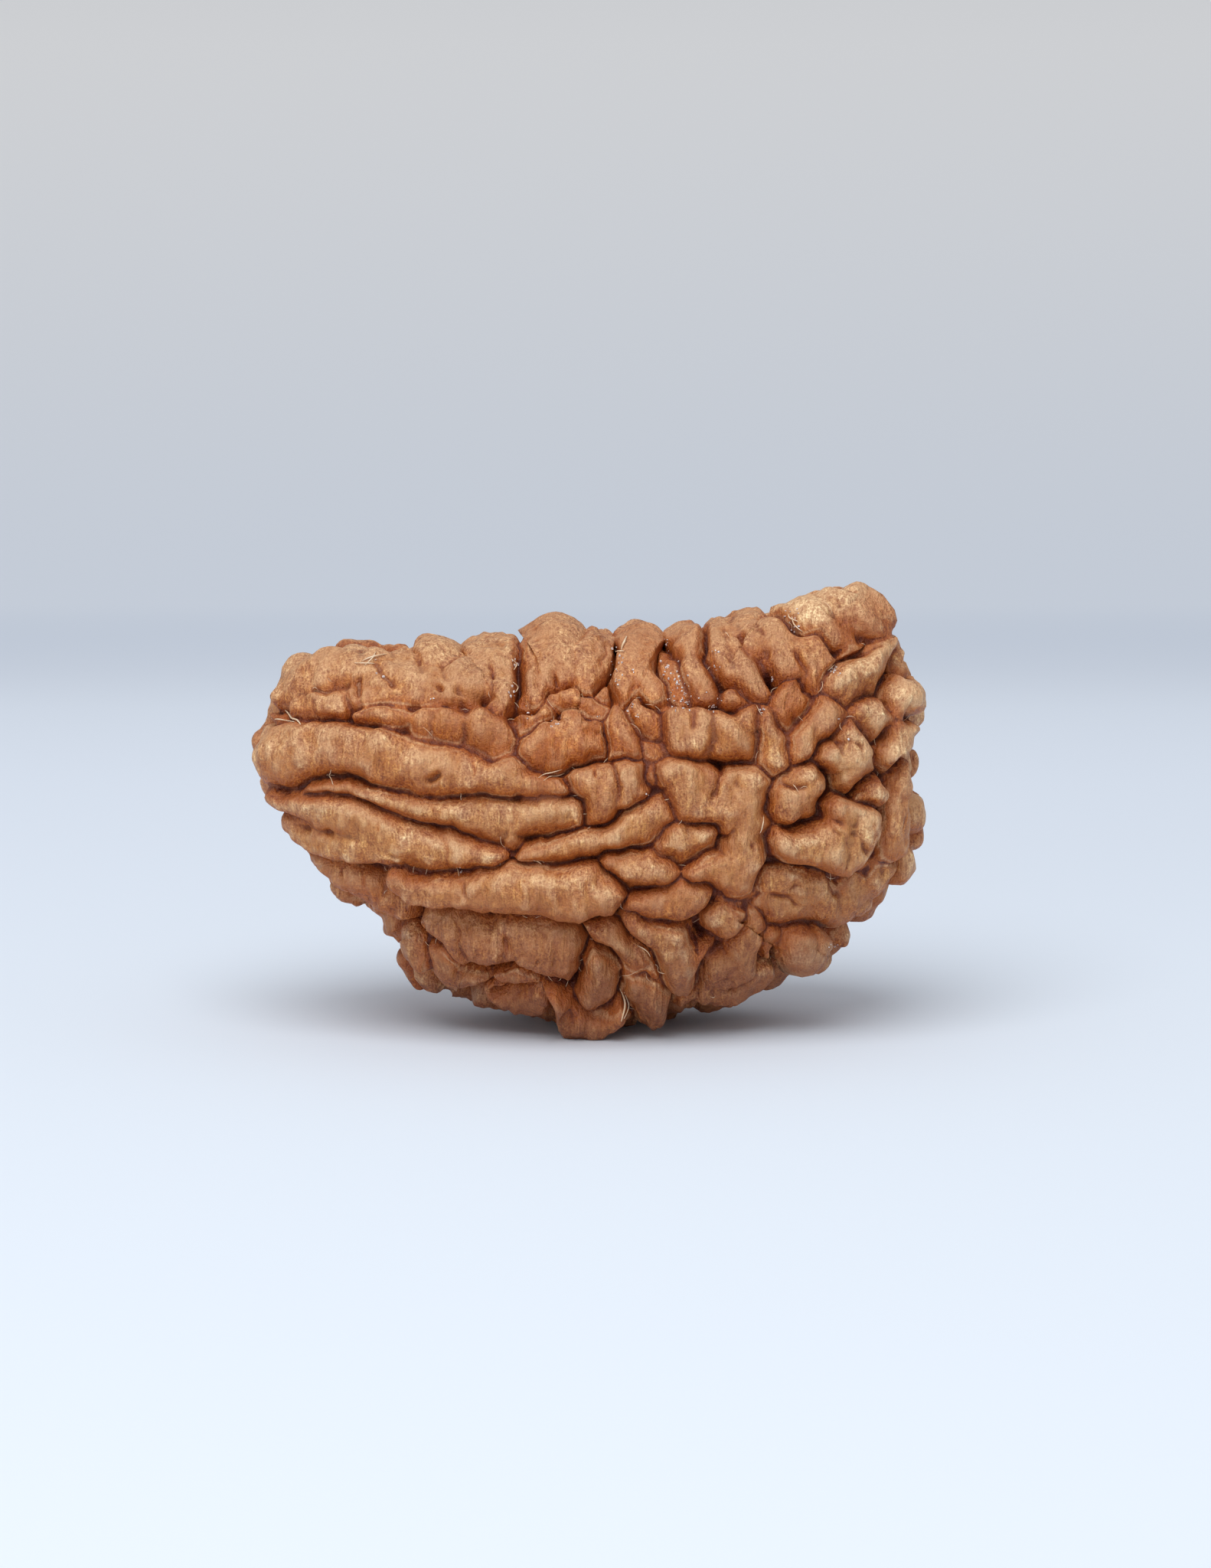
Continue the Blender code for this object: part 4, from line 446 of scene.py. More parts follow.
# %% Seat a drawn point on the body
def seat(across, up, height, side):
    """Where a fold seen at (across, up) sits on the body. Beyond the rim it rolls over."""
    off = np.array([across, up]) - HEART
    angle = math.atan2(off[1], off[0])
    far = math.hypot(*off)
    deep = FACE_DEPTH if side < 0 else BACK_DEPTH
    rim = float(outline_radius(np.array([angle]))[0])
    ironed = float(smooth_radius(np.array([angle]))[0])

    def seen(s):
        reach = ironed * (1 - s**5) + rim * s**5
        out = s / reach
        front = math.sqrt(max(1 - s * s, 0)) / deep
        return reach * s + 0.75 * height * out / math.hypot(out, front)

    if far > seen(1.0):
        s = max(0.5, 1 - (far - seen(1.0)) / rim)
        side = -side
    else:
        low = 0.0
        high = 1.0
        for _ in range(25):
            s = (low + high) / 2
            if seen(s) < far:
                low = s
            else:
                high = s
    flat = [s * math.cos(angle), side * math.sqrt(max(1 - s * s, 0)), s * math.sin(angle)]
    return body(np.array([flat]))[0]


print("the middle of the face is at depth", round(float(seat(0.3, 9.4, 0, -1)[1]), 2), "mm")

# %% A smooth run of points through a stroke, and the seated strokes
def curve_through(rows, steps=3):
    """A smooth run of points through the rows of a stroke."""
    p = np.array(rows, float)
    if len(p) == 1:
        return np.vstack([p, p + 1e-3])
    if len(p) == 2:
        return p
    longer = np.vstack([2 * p[0] - p[1], p, 2 * p[-1] - p[-2]])
    out = []
    for i in range(1, len(longer) - 2):
        a, b, c, d = longer[i - 1:i + 3]
        for k in range(steps):
            t = k / steps
            bend = (2 * a - 5 * b + 4 * c - d) * t**2 + (3 * b - a - 3 * c + d) * t**3
            out.append(0.5 * (2 * b + (c - a) * t + bend))
    out.append(p[-1])
    return np.array(out)


def seated(folds, side):
    """Each fold's strokes as paths on the body: across, depth, up and half width."""
    out = []
    for height, rounding, strokes in folds:
        paths = []
        for rows in strokes:
            rows = curve_through(rows)
            paths.append(np.array([[*seat(r[0], r[1], height, side), r[2]] for r in rows]))
        out.append((height, rounding, paths))
    return out


named = seated(FOLDS.values(), -1) + seated(REAR.values(), 1)
print(len(named), "folds are seated on the body")

# %% [markdown]
# ## Inside or outside a stroke
# To turn strokes into a surface we ask, for each point of the body, how deep it lies inside each
# stroke. The stroke in which it lies deepest owns the point. Where two strokes are equally deep,
# there is a groove. It works like the cells of a Voronoi texture, with strokes instead of dots.

# %% Depth inside a stroke
def inside(points, path, margin):
    """How deep inside a tapered stroke each point lies, below 0 outside, and how wide it is there."""
    depth = np.full(len(points), -9.0)
    width = np.ones(len(points))
    low = path[:, :3].min(0) - path[:, 3].max() - margin
    high = path[:, :3].max(0) + path[:, 3].max() + margin
    near = np.flatnonzero(((points > low) & (points < high)).all(1))
    q = points[near]
    best = depth[near]
    wide = width[near]
    for a, b in zip(path[:-1], path[1:]):
        along = b[:3] - a[:3]
        t = np.clip((q - a[:3]) @ along / max(float(along @ along), 1e-12), 0, 1)
        r = a[3] + t * (b[3] - a[3])
        e = r - np.linalg.norm(q - (a[:3] + t[:, None] * along), axis=1)
        better = e > best
        best[better] = e[better]
        wide[better] = r[better]
    depth[near] = best
    width[near] = wide
    return depth, width


def inside_any(points, paths, margin=1.5):
    """The same for the several strokes of one fold."""
    depth = np.full(len(points), -9.0)
    width = np.ones(len(points))
    for path in paths:
        e, w = inside(points, path, margin)
        better = e > depth
        depth[better] = e[better]
        width[better] = w[better]
    return depth, width


def rise(points, paths):
    """Where each point lies between the lower edge (-1) and the upper edge (1) of a fold."""
    rows = np.vstack(paths)
    slope, start = np.polyfit(rows[:, 0], rows[:, 2], 1)
    above = rows[:, 2] - start - slope * rows[:, 0]
    half = rows[:, 3].mean() + above.std()
    return np.clip((points[:, 2] - start - slope * points[:, 0]) / half, -1, 1)


middle = body(np.array([[0.0, -1.0, 0.0]]))
depths = [float(inside_any(middle, paths)[0][0]) for _, _, paths in named]
print("the middle of the face belongs to the fold", list(FOLDS)[int(np.argmax(depths))])

# %% [markdown]
# ## Unevenness
# Nothing that grows is ruled. Many waves of about the same length, running every way, add up to
# a soft unevenness. Blender's noise would do too, but this one also works on whole arrays of
# points, and its seed makes it come out the same each time.

# %% Waves that add up to unevenness
def ripples(points, length, seed, count=20):
    """Seeded smooth unevenness: many waves of about this length, running every way."""
    rng = np.random.default_rng(seed)
    waves = rng.normal(size=(count, 3))
    waves *= (2 * np.pi / length * rng.uniform(0.7, 1.4, count) / np.linalg.norm(waves, axis=1))[:, None]
    phase = rng.uniform(0, 2 * np.pi, count)
    out = np.zeros(len(points))
    for k in range(count):
        out += np.cos(points @ waves[k] + phase[k])
    return out * math.sqrt(2 / count)


sample = ripples(body(unit(np.random.default_rng(0).normal(size=(500, 3)))), 2.0, SEED)
print("the waves stay mostly within", sample.std().round(2), "of zero")

# %% [markdown]
# ## Folds on the hidden side
# The back of the stone has folds of the same kind, which run out of the tip. No stroke is drawn
# for them. They are strewn by a seeded random draw, wherever no drawn fold lies, first the broad
# ones and then narrow ones in between.

# %% Spare folds for the back
def spare_folds(named):
    """Folds where no named fold lies, long near the tip and rounder far from it."""
    rng = np.random.default_rng(SEED)
    tip = np.array([-1.0, 0.0, 0.1])
    tip /= np.linalg.norm(tip)
    found = []
    taken = []

    def free(points):
        best = np.full(len(points), -9.0)
        for _, _, paths in named:
            best = np.maximum(best, inside_any(points, paths)[0])
        return -best

    for narrow, wide in ((0.8, 1.15), (0.45, 0.7)):
        starts = unit(rng.normal(size=(4000, 3)))
        starts = starts[(starts[:, 1] > -0.35) & (free(body(starts)) > 0.4)]
        for start, point in zip(starts, body(starts)):
            half = rng.uniform(narrow, wide)
            if any(np.linalg.norm(point - other) < 0.9 * (half + w) for other, w in taken):
                continue
            away = math.acos(np.clip(start @ tip, -1, 1))
            across = unit((start - tip * (start @ tip))[None])[0]
            sideways = np.cross(tip, across)
            long = half * rng.uniform(0.45, 1.0) * max(0.6, 3.6 - 1.2 * away) / 11
            drift = long * rng.normal(0, 0.3 + 0.15 * away)
            rows = []
            for k in (-1.0, -0.5, 0.0, 0.5, 1.0):
                turn = away + k * long
                out = across * math.cos(drift * k) + sideways * math.sin(drift * k)
                at = body(unit((tip * math.cos(turn) + out * math.sin(turn))[None]))
                if free(at)[0] > 0.3 + 0.3 * half:
                    rows.append([*at[0], half * (1.0 - 0.35 * k * k)])
            if not rows:
                rows = [[*point, half]]
            taken += [(np.array(r[:3]), r[3]) for r in rows]
            if len(rows) == 1:
                rows.append([rows[0][0] + 0.05, *rows[0][1:]])
            height = rng.uniform(0.8, 1.25) * (0.6 if abs(start[1]) < 0.35 else 1.0)
            found.append((height, rng.uniform(0.6, 0.9), [np.array(rows)]))
    return found


spare = spare_folds(named)
print(len(spare), "spare folds fill the back and the underside")

# %% [markdown]
# ## Strands in the shell
# The shell is built of fibres that run up and down across the long folds. On the real stone they
# show as fine lines, about a third of a millimetre apart. A texture alone would leave the outline
# of each fold too smooth, so the strongest strands are part of the surface: waves that are short
# across and long upwards.

# %% Waves that run like strands
def strands(points, across, upwards, seed, count=40):
    """Seeded waves, short across the stone and long upwards."""
    rng = np.random.default_rng(seed)
    turn = rng.normal(0, 0.25, count)
    size = rng.uniform(0.7, 1.5, count)
    waves = np.stack([np.cos(turn) / across, rng.normal(0, 0.25, count) / across,
                      np.sin(turn) / across + rng.normal(0, 0.4, count) / upwards], 1)
    waves *= (2 * np.pi * size)[:, None]
    phase = rng.uniform(0, 2 * np.pi, count)
    out = np.zeros(len(points))
    for k in range(count):
        out += np.cos(points @ waves[k] + phase[k])
    return out * math.sqrt(2 / count)


print("strands at three points:", strands(body(tip_and_knob), 0.35, 2.0, SEED).round(2))

# %% [markdown]
# ## Creases, swellings and stains
# No fold is the same all along. Short creases cross it, and it swells in between. In sculpting
# they would come last, as the smallest brush strokes. Here each is one row of numbers. They are
# finer than the measured solid has them, and change its skin but not its form. The third table
# says how orange a fold is: the teeth and the plates kept the most juice, and below zero a fold is
# paler than the others.

# %% Short creases
# depth, half width, and where it runs: across, up
CREASES = [
    (0.28, 0.09, [(-5.2, 4.9), (-5.05, 4.3), (-4.9, 3.6)]),
    (0.22, 0.08, [(-3.2, 4.7), (-3.1, 4.1), (-3.25, 3.4)]),
    (0.2, 0.07, [(-1.75, 4.4), (-1.8, 3.9), (-2.0, 3.3)]),
    (0.2, 0.08, [(-6.2, 5.2), (-6.3, 4.6), (-6.2, 4.0)]),
    (0.15, 0.06, [(-8.9, 6.9), (-8.7, 6.3), (-8.6, 5.7)]), (0.15, 0.06, [(-9.9, 7.4), (-9.6, 6.8)]),
    (0.15, 0.06, [(-0.1, 6.6), (0.1, 6.0), (0.2, 5.3)]), (0.12, 0.05, [(-2.3, 6.7), (-2.2, 6.1)]),
    (0.15, 0.07, [(-5.6, 8.5), (-5.5, 7.9), (-5.6, 7.4)]), (0.12, 0.06, [(-8.2, 9.0), (-8.1, 8.4)]),
    (0.16, 0.07, [(-10.7, 12.4), (-10.6, 11.8), (-10.7, 11.2)]),
    (0.12, 0.06, [(-9.4, 12.4), (-9.3, 11.9)]),
    (0.15, 0.07, [(-7.6, 11.9), (-7.5, 11.3), (-7.7, 10.8)]),
    (0.14, 0.06, [(-4.6, 11.4), (-4.5, 10.9), (-4.6, 10.4)]),
    (0.18, 0.07, [(-6.2, 12.6), (-6.1, 12.2)]), (0.2, 0.07, [(-5.0, 12.6), (-4.9, 12.1), (-5.0, 11.8)]),
    (0.18, 0.07, [(0.3, 11.1), (0.35, 10.6), (0.3, 10.1)]), (0.15, 0.06, [(4.6, 10.9), (4.7, 10.5)]),
    (0.15, 0.06, [(6.5, 8.9), (6.3, 8.4), (6.4, 7.9)]),
    (0.15, 0.06, [(5.9, 7.9), (5.6, 7.5), (5.7, 7.1)]),
    (0.2, 0.07, [(8.2, 8.5), (8.3, 8.1), (8.1, 7.8)]),
    (0.18, 0.06, [(9.9, 8.3), (10.1, 7.9), (10.0, 7.5)]),
    (0.18, 0.06, [(10.9, 8.9), (11.1, 8.5), (11.0, 8.1)]),
    (0.15, 0.06, [(8.1, 6.2), (8.6, 6.4), (9.1, 6.3)]),
    (0.15, 0.06, [(9.3, 5.5), (9.6, 5.1), (9.5, 4.7)]), (0.15, 0.06, [(10.4, 6.3), (10.8, 5.9)]),
    (0.15, 0.06, [(12.2, 10.6), (12.5, 10.2), (12.4, 9.8)]),
    (0.15, 0.06, [(12.6, 9.0), (12.4, 8.6), (12.6, 8.2)]),
    (0.12, 0.05, [(10.9, 11.6), (11.2, 11.3), (11.1, 11.0)]),
    (0.12, 0.05, [(8.3, 9.7), (8.6, 9.9), (9.1, 9.8)]),
    (0.15, 0.06, [(5.0, 2.9), (5.3, 2.6), (5.9, 2.6)]), (0.15, 0.06, [(6.0, 3.9), (6.2, 3.5)]),
    (0.15, 0.07, [(-11.0, 14.9), (-10.5, 14.6), (-10.2, 14.1)]),
    (0.15, 0.07, [(-9.6, 15.4), (-9.4, 14.9)]), (0.12, 0.06, [(-7.9, 15.6), (-7.7, 15.1)]),
    (0.15, 0.07, [(-6.9, 15.5), (-6.8, 14.9), (-6.9, 14.4)]),
    (0.15, 0.07, [(-5.9, 15.4), (-5.8, 14.9)]),
    (0.15, 0.07, [(-4.0, 15.3), (-4.1, 14.7), (-3.9, 14.2)]),
    (0.14, 0.06, [(-1.7, 15.9), (-1.75, 15.3)]), (0.14, 0.06, [(0.4, 15.9), (0.45, 15.2), (0.3, 14.6)]),
    (0.14, 0.06, [(6.0, 16.3), (6.1, 15.6)]), (0.14, 0.06, [(9.4, 17.4), (9.5, 16.9)]),
]
print(len(CREASES), "creases")

# %% Low swellings
# across, up, reach and height
SWELLINGS = [
    (-5.8, 4.4, 0.75, 0.16), (-4.1, 4.0, 0.85, 0.2), (-2.4, 4.0, 0.8, 0.16), (-1.2, 3.6, 0.75, 0.2),
    (-7.2, 5.4, 0.7, 0.1), (-8.3, 6.1, 0.8, 0.12), (-11.5, 11.7, 1.0, 0.12), (-8.3, 11.6, 0.8, 0.1),
    (-3.0, 6.0, 1.0, 0.1), (0.2, 5.9, 0.8, 0.12), (-2.0, 9.2, 0.8, 0.12), (-7.0, 8.2, 1.0, 0.12),
    (4.4, 12.2, 0.6, 0.12), (5.9, 12.2, 0.7, 0.14), (10.4, 14.4, 0.8, 0.14), (11.3, 15.2, 0.7, 0.1),
    (8.6, 10.0, 0.9, 0.12), (10.5, 11.4, 0.9, 0.14), (9.5, 7.9, 0.9, 0.12), (10.8, 8.6, 0.6, 0.14),
    (8.1, 8.1, 0.6, 0.1), (0.5, 10.2, 0.6, 0.1), (12.9, 13.7, 0.8, 0.1), (3.8, 3.0, 0.7, 0.1),
    (2.5, 6.9, 0.7, 0.1), (3.9, 5.9, 0.6, 0.1), (6.2, 9.6, 0.7, 0.12), (5.9, 7.3, 0.8, 0.12),
    (3.9, 10.4, 0.6, 0.08), (8.9, 3.4, 0.7, 0.1), (5.6, 15.8, 0.6, 0.08), (7.2, 15.9, 0.6, 0.08),
    (2.3, 15.6, 0.6, 0.08), (-2.1, 15.0, 0.6, 0.08), (10.4, 17.2, 0.9, 0.1),
]
print(len(SWELLINGS), "swellings")

# %% Which folds are stained orange
STAINS = {
    "tooth_ab": 0.9, "tooth_c": 0.85, "tooth_d": 0.65, "wedge": 1.2, "sill": 0.8, "sill_low": 0.7,
    "triangle": 0.5, "plate_b": 0.6, "plate_c": 0.8, "plate_d": 0.65, "plate_e": 0.55, "shoulder": 0.35,
    "terrace": 0.6, "tooth_fg": 0.3, "block_a": 0.3, "arch": 0.4, "pebble_f": 0.2, "heart": 0.4,
    "gap_floor": 0.9, "tooth_i": 0.35, "brow": 0.25, "cheek": -0.6, "lash": -0.35, "jaw": 0.5,
    "lip": 0.1, "rim": 0.3, "jaw_mid": 0.3, "pillar": 0.1, "crown": -0.4, "fist": -0.3,
    "pebble_a": -0.6, "pebble_b": -0.6, "pebble_c": -0.6, "pebble_d": -0.6, "pebble_e": -0.6,
    "strand_a": -0.6, "strand_b": -0.6, "strand_c": -0.6,
}
print(len(STAINS), "folds have a stain of their own")

# %% [markdown]
# ## The relief
# Now every point of the body gets a height: high on the back of a fold, low in a groove. Each
# fold keeps its own height, and the change from one to the next is soft. The distance to the
# nearest groove is kept too, because the colour needs it later: dirt, dark skin and painted
# shade stay in the grooves.

# %% Which fold a point belongs to
def owners(q):
    """How deep each point lies in its fold and in the next one, and what its fold is like."""
    first = np.full(len(q), -9.0)
    second = np.full(len(q), -9.0)
    weight = np.full(len(q), 1e-9)
    weighed = np.zeros(len(q))
    stained = np.zeros(len(q))
    edge = np.ones(len(q))
    wide = np.ones(len(q))
    # folds without a stain of their own get one by a seeded draw
    stains = np.random.default_rng(SEED).uniform(-0.3, 0.1, len(named) + len(spare))
    stains[:len(FOLDS)] = [STAINS.get(name, stain) for name, stain in zip(FOLDS, stains)]
    tilts = [TILTS.get(name, A_LITTLE_TILT) for name in FOLDS] + [0] * (len(REAR) + len(spare))
    # the stroke in which a point lies deepest wins it, and the runner-up tells how far the groove is
    for (height, rounding, paths), tilt, stain in zip(named + spare, tilts, stains):
        e, w = inside_any(q, paths)
        raised = rise(q, paths)
        height = height + tilt * raised
        share = np.exp(np.maximum(e, -3) / BLEND)
        weight += share
        weighed += share * height
        stained += share * stain
        wins = e > first
        second = np.where(wins, first, np.maximum(second, e))
        first = np.where(wins, e, first)
        edge[wins] = ((0.3 + 0.75 * rounding) * w * (1 - 0.25 * raised))[wins]
        wide[wins] = w[wins]
    return first, second, weighed / weight, stained / weight, edge, wide


owned = owners(middle)
print("the middle of the face lies", owned[0].round(2), "mm deep in its fold")

# %% Height of the folds, and where their grooves are
SOFT_GROOVE = 0.03  # rounds the bottom of a groove
ROUND_BACK = 0.32  # how far the back of a fold curves down towards its edges
DEEPEST_CRACK = 0.5  # the solid has some deeper ones, which would only look black here


def relief(points):
    """Height over the body, distance to the nearest groove, and how stained the fold is."""
    broad = np.stack([ripples(points, 2.3, SEED + k) for k in range(3)], 1)
    fine = np.stack([ripples(points, 0.9, SEED + 10 + k) for k in range(3)], 1)
    q = points + 0.07 * broad + 0.03 * fine
    first, second, h, stained, edge, wide = owners(q)
    e = np.minimum(first + GROW, (first - second) / 2)
    e = np.sqrt(np.maximum(e, 0) ** 2 + SOFT_GROOVE**2) - SOFT_GROOVE
    profile = np.sqrt(1 - (1 - np.clip(e / edge, 0, 1)) ** 2)
    faint = np.clip(0.9 + 0.3 * ripples(points, 3.5, SEED + 20), 0.5, 1.2)
    for across, up, reach in GROWN_TOGETHER:
        away = np.linalg.norm(points - seat(across, up, 1.0, -1), axis=1)
        faint *= 1 - 0.85 * np.exp(-(away / reach) ** 4)
    h -= np.minimum(GROOVE, 0.35 + 0.85 * edge) * faint * (1 - profile)
    h -= ROUND_BACK * np.minimum(wide, 1) * (1 - np.clip(e / wide, 0, 1)) ** 2
    for across, up, reach, size in SWELLINGS:
        away = np.linalg.norm(points - seat(across, up, 1.0, -1), axis=1)
        h += size * np.exp(-(away / reach) ** 2) * profile
    # where no stroke reaches, the skin sinks
    h -= np.clip(-first - 0.1, 0, 1.0) * 0.5
    h += (0.3 + 0.7 * profile) * 0.04 * ripples(points, 1.3, SEED + 30)
    for depth, half, rows in CRACKS + CREASES:
        path = np.array([[*seat(across, up, 1.0, -1), 0.0] for across, up in rows])
        away = inside(q, path, 3 * half + 0.2)[0]
        near = np.exp(-(np.minimum(away, 0) / half) ** 2)
        h -= min(depth, DEEPEST_CRACK) * near
        e = e * (1 - near)
    return h, e, stained


high, off_groove, _ = relief(middle)
print("there the skin stands", high.round(2), "mm out,", off_groove.round(2), "mm from a groove")

# %% [markdown]
# ## Upright
# The strokes were drawn in the leaning view of the face. One turn about the long axis sets the
# stone upright on the floor.

# %% Turn the stone upright
def to_world(points):
    """From the leaning view in which the strokes are drawn to upright, in millimetres."""
    x, y, z = points.T
    c = math.cos(LEAN)
    s = math.sin(LEAN)
    return np.stack([x, y * c + z * s, z * c - y * s], 1) + OFFSET


heart = to_world(np.array([[HEART[0], 0, HEART[1]]]))[0]
print("the heart of the standing stone is at", heart.round(1), "mm")

# %% [markdown]
# ## The ball it is made from
# A ball made from a cube has faces of nearly the same size everywhere, with no crowded poles as
# on a UV sphere. Its points are pulled towards the face a little, because that side is looked
# at most.

# %% A finely cut ball
def ball():
    """A ball made from a finely cut cube: its mesh, and the direction of each of its points."""
    bm = bmesh.new()
    bmesh.ops.create_cube(bm, size=2)
    bmesh.ops.subdivide_edges(bm, edges=bm.edges[:], cuts=CUTS, use_grid_fill=True)
    bmesh.ops.recalc_face_normals(bm, faces=bm.faces[:])
    mesh = bpy.data.meshes.new("rudraksha_seed")
    bm.to_mesh(mesh)
    bm.free()
    co = np.empty(len(mesh.vertices) * 3, np.float32)
    mesh.vertices.foreach_get("co", co)
    return mesh, unit(np.tan(co.reshape(-1, 3).astype(float) * np.pi / 4))


mesh, directions = ball()
directions = unit(directions * [1.0, 1.3, 1.0])
print("the ball has", len(mesh.polygons), "faces")

# %% Push the ball into shape
smooth = body(directions)
height, groove, stain = relief(smooth)
out = body_normals(directions)
lines = strands(smooth, 0.42, 2.2, SEED + 50)
grain = ripples(smooth, 0.45, SEED + 60, 60)
lumps = ripples(smooth, 1.1, SEED + 61, 60)
pleats = strands(smooth, 1.0, 4.0, SEED + 52, 30)
inner = np.clip(groove / 0.25, 0, 1)
height += inner * (0.02 * lines + 0.014 * grain + 0.024 * lumps + 0.035 * pleats)
points = smooth + out * height[:, None]
print("the folds rise up to", height.max().round(2), "mm and drop to", height.min().round(2), "mm")

# %% [markdown]
# ## Softening
# The floor of each groove is too sharp where two strokes meet. Moving each point halfway to the
# middle of its neighbours, twice, rounds it. The same step, repeated many times, also tells how
# hollow the surface is: where the smoothed surface lies outside the real one, there is a hollow.
# A renderer's ambient occlusion would show hollows too, but a number on each point stays with the
# stone in every light.

# %% Average with the neighbours
ends = np.empty(len(mesh.edges) * 2, np.int32)
mesh.edges.foreach_get("vertices", ends)
ends = ends.reshape(-1, 2)
around = np.bincount(ends.ravel(), minlength=len(points))


def averaged(values, times, share=0.5):
    """Each value moved towards the mean of its neighbours, this many times."""
    for _ in range(times):
        total = np.stack([
            np.bincount(ends[:, 0], values[ends[:, 1], k], len(values))
            + np.bincount(ends[:, 1], values[ends[:, 0], k], len(values))
            for k in range(values.shape[1])], 1)
        values = values * (1 - share) + share * total / around[:, None]
    return values


points = averaged(points, 2)
print("a point has", around.min(), "to", around.max(), "neighbours")

# %% Measure the hollows
def hollowness(points, out, times, reach):
    """How far the surface lies under its own smoothed copy, from -1 to 1."""
    gap = averaged(points, times, 0.9) - points
    return np.clip((gap * out).sum(1) / reach, -1, 1)


narrow_hollow = hollowness(points, out, 6, 0.05)
broad_hollow = hollowness(points, out, 60, 0.5)
print("hollow in", round(float((broad_hollow > 0.2).mean()) * 100), "% of the points")

# %% [markdown]
# ## One mesh
# The points become a mesh, in metres. What was measured on them is kept as attributes, which the
# material reads by name. A Decimate modifier then takes triangles away where the surface is
# nearly flat, and keeps them along the folds. Points that would sink into the floor are worn flat.

# %% Make the stone
stone = to_world(points)
mesh.vertices.foreach_set("co", (stone * MM).astype(np.float32).ravel())
mesh.polygons.foreach_set("use_smooth", np.ones(len(mesh.polygons), bool))
low = np.clip((6.5 - points[:, 2]) / 4.5, 0, 1)
mesh.update()
normals = np.empty(len(points) * 3, np.float32)
mesh.vertex_normals.foreach_get("vector", normals)
facing_up = averaged(normals.reshape(-1, 3)[:, 2:].astype(float), 4)[:, 0]
for name, values in (("groove", groove), ("stain", stain), ("narrow_hollow", narrow_hollow),
                     ("broad_hollow", broad_hollow), ("low", low), ("facing_up", facing_up)):
    kept = mesh.attributes.new(name, "FLOAT", "POINT")
    kept.data.foreach_set("value", values.astype(np.float32))
mesh.update()
rough_stone = bpy.data.objects.new("rough_stone", mesh)
bpy.context.scene.collection.objects.link(rough_stone)
thin = rough_stone.modifiers.new("thin out", "DECIMATE")
thin.ratio = TRIANGLES / (2 * len(mesh.polygons))
thinned = rough_stone.evaluated_get(bpy.context.evaluated_depsgraph_get())
finished = bpy.data.meshes.new_from_object(thinned)
bpy.data.objects.remove(rough_stone)
co = np.empty(len(finished.vertices) * 3, np.float32)
finished.vertices.foreach_get("co", co)
co[2::3] = np.maximum(co[2::3], 0)
finished.vertices.foreach_set("co", co)
finished.update()
shell = bpy.data.objects.new("rudraksha_shell", finished)
bpy.context.scene.collection.objects.link(shell)
corners = co.reshape(-1, 3) / MM
print("the stone has", len(finished.polygons), "triangles and measures",
      (corners.max(0) - corners.min(0)).round(2), "mm")

# %% [markdown]
# ## The colour of the shell
# The shell is dry, matt, woody skin. The backs of the folds are rubbed pale and sandy, and painted
# paler where they face up; their flanks are a deeper orange, partly painted shade; and the grooves
# hold a dark red-brown of dirt and painted shade. Over all of it lies a mottling in four sizes, and
# the fine lines of the strands. A painted image could hold this, but nodes have no seams and no
# resolution. Each helper below adds one kind of node.

# %% Helpers for a node material: numbers
def new_material(name):
    """An empty material: its nodes, its links and its shader."""
    material = bpy.data.materials.new(name)
    material.use_nodes = True
    return material, material.node_tree, material.node_tree.nodes["Principled BSDF"]


def put(tree, value, socket):
    """Link an output to this socket, or set a plain number or colour on it."""
    if isinstance(value, bpy.types.NodeSocket):
        tree.links.new(value, socket)
    else:
        socket.default_value = value


def sums(tree, operation, first, second=0.0, third=0.0):
    """One step of arithmetic."""
    node = tree.nodes.new("ShaderNodeMath")
    node.operation = operation
    for value, socket in zip((first, second, third), node.inputs):
        put(tree, value, socket)
    return node.outputs[0]


def between(tree, value, low, high):
    """0 below low, 1 above high, and a soft step in between."""
    node = tree.nodes.new("ShaderNodeMapRange")
    node.interpolation_type = "SMOOTHSTEP"
    put(tree, value, node.inputs["Value"])
    node.inputs["From Min"].default_value = low
    node.inputs["From Max"].default_value = high
    return node.outputs[0]


def measured(tree, name):
    """What was measured on the mesh under this name."""
    node = tree.nodes.new("ShaderNodeAttribute")
    node.attribute_name = name
    return node.outputs["Fac"]


print("helpers for numbers and what was measured")

# %% Helpers for noise and colour
def mottling(tree, where, size, detail=3.0, seed=0.0, stretch=(1, 1, 1), sharp=0.5):
    """Noise whose patches are about this many millimetres wide."""
    moved = tree.nodes.new("ShaderNodeMapping")
    tree.links.new(where, moved.inputs["Vector"])
    moved.inputs["Location"].default_value = (seed, seed * 0.7, seed * 1.3)
    moved.inputs["Scale"].default_value = [1 / (size * s) for s in stretch]
    noise = tree.nodes.new("ShaderNodeTexNoise")
    tree.links.new(moved.outputs[0], noise.inputs["Vector"])
    noise.inputs["Scale"].default_value = 1.0
    noise.inputs["Detail"].default_value = detail
    noise.inputs["Roughness"].default_value = sharp
    return noise.outputs["Fac"]


def tinted_by(tree, share, first, second, way="MIX"):
    """This share of the second colour over the first."""
    node = tree.nodes.new("ShaderNodeMix")
    node.data_type = "RGBA"
    node.blend_type = way
    put(tree, share, node.inputs["Factor"])
    put(tree, first, node.inputs[6])
    put(tree, second, node.inputs[7])
    return node.outputs[2]


print("helpers for noise and colour")

# %% Where on the stone, in millimetres
def in_millimetres(tree):
    """The place on the piece, so that the size of each noise is a real size."""
    place = tree.nodes.new("ShaderNodeTexCoord")
    scaled = tree.nodes.new("ShaderNodeVectorMath")
    scaled.operation = "SCALE"
    tree.links.new(place.outputs["Object"], scaled.inputs[0])
    scaled.inputs["Scale"].default_value = 1000.0
    return scaled.outputs[0]


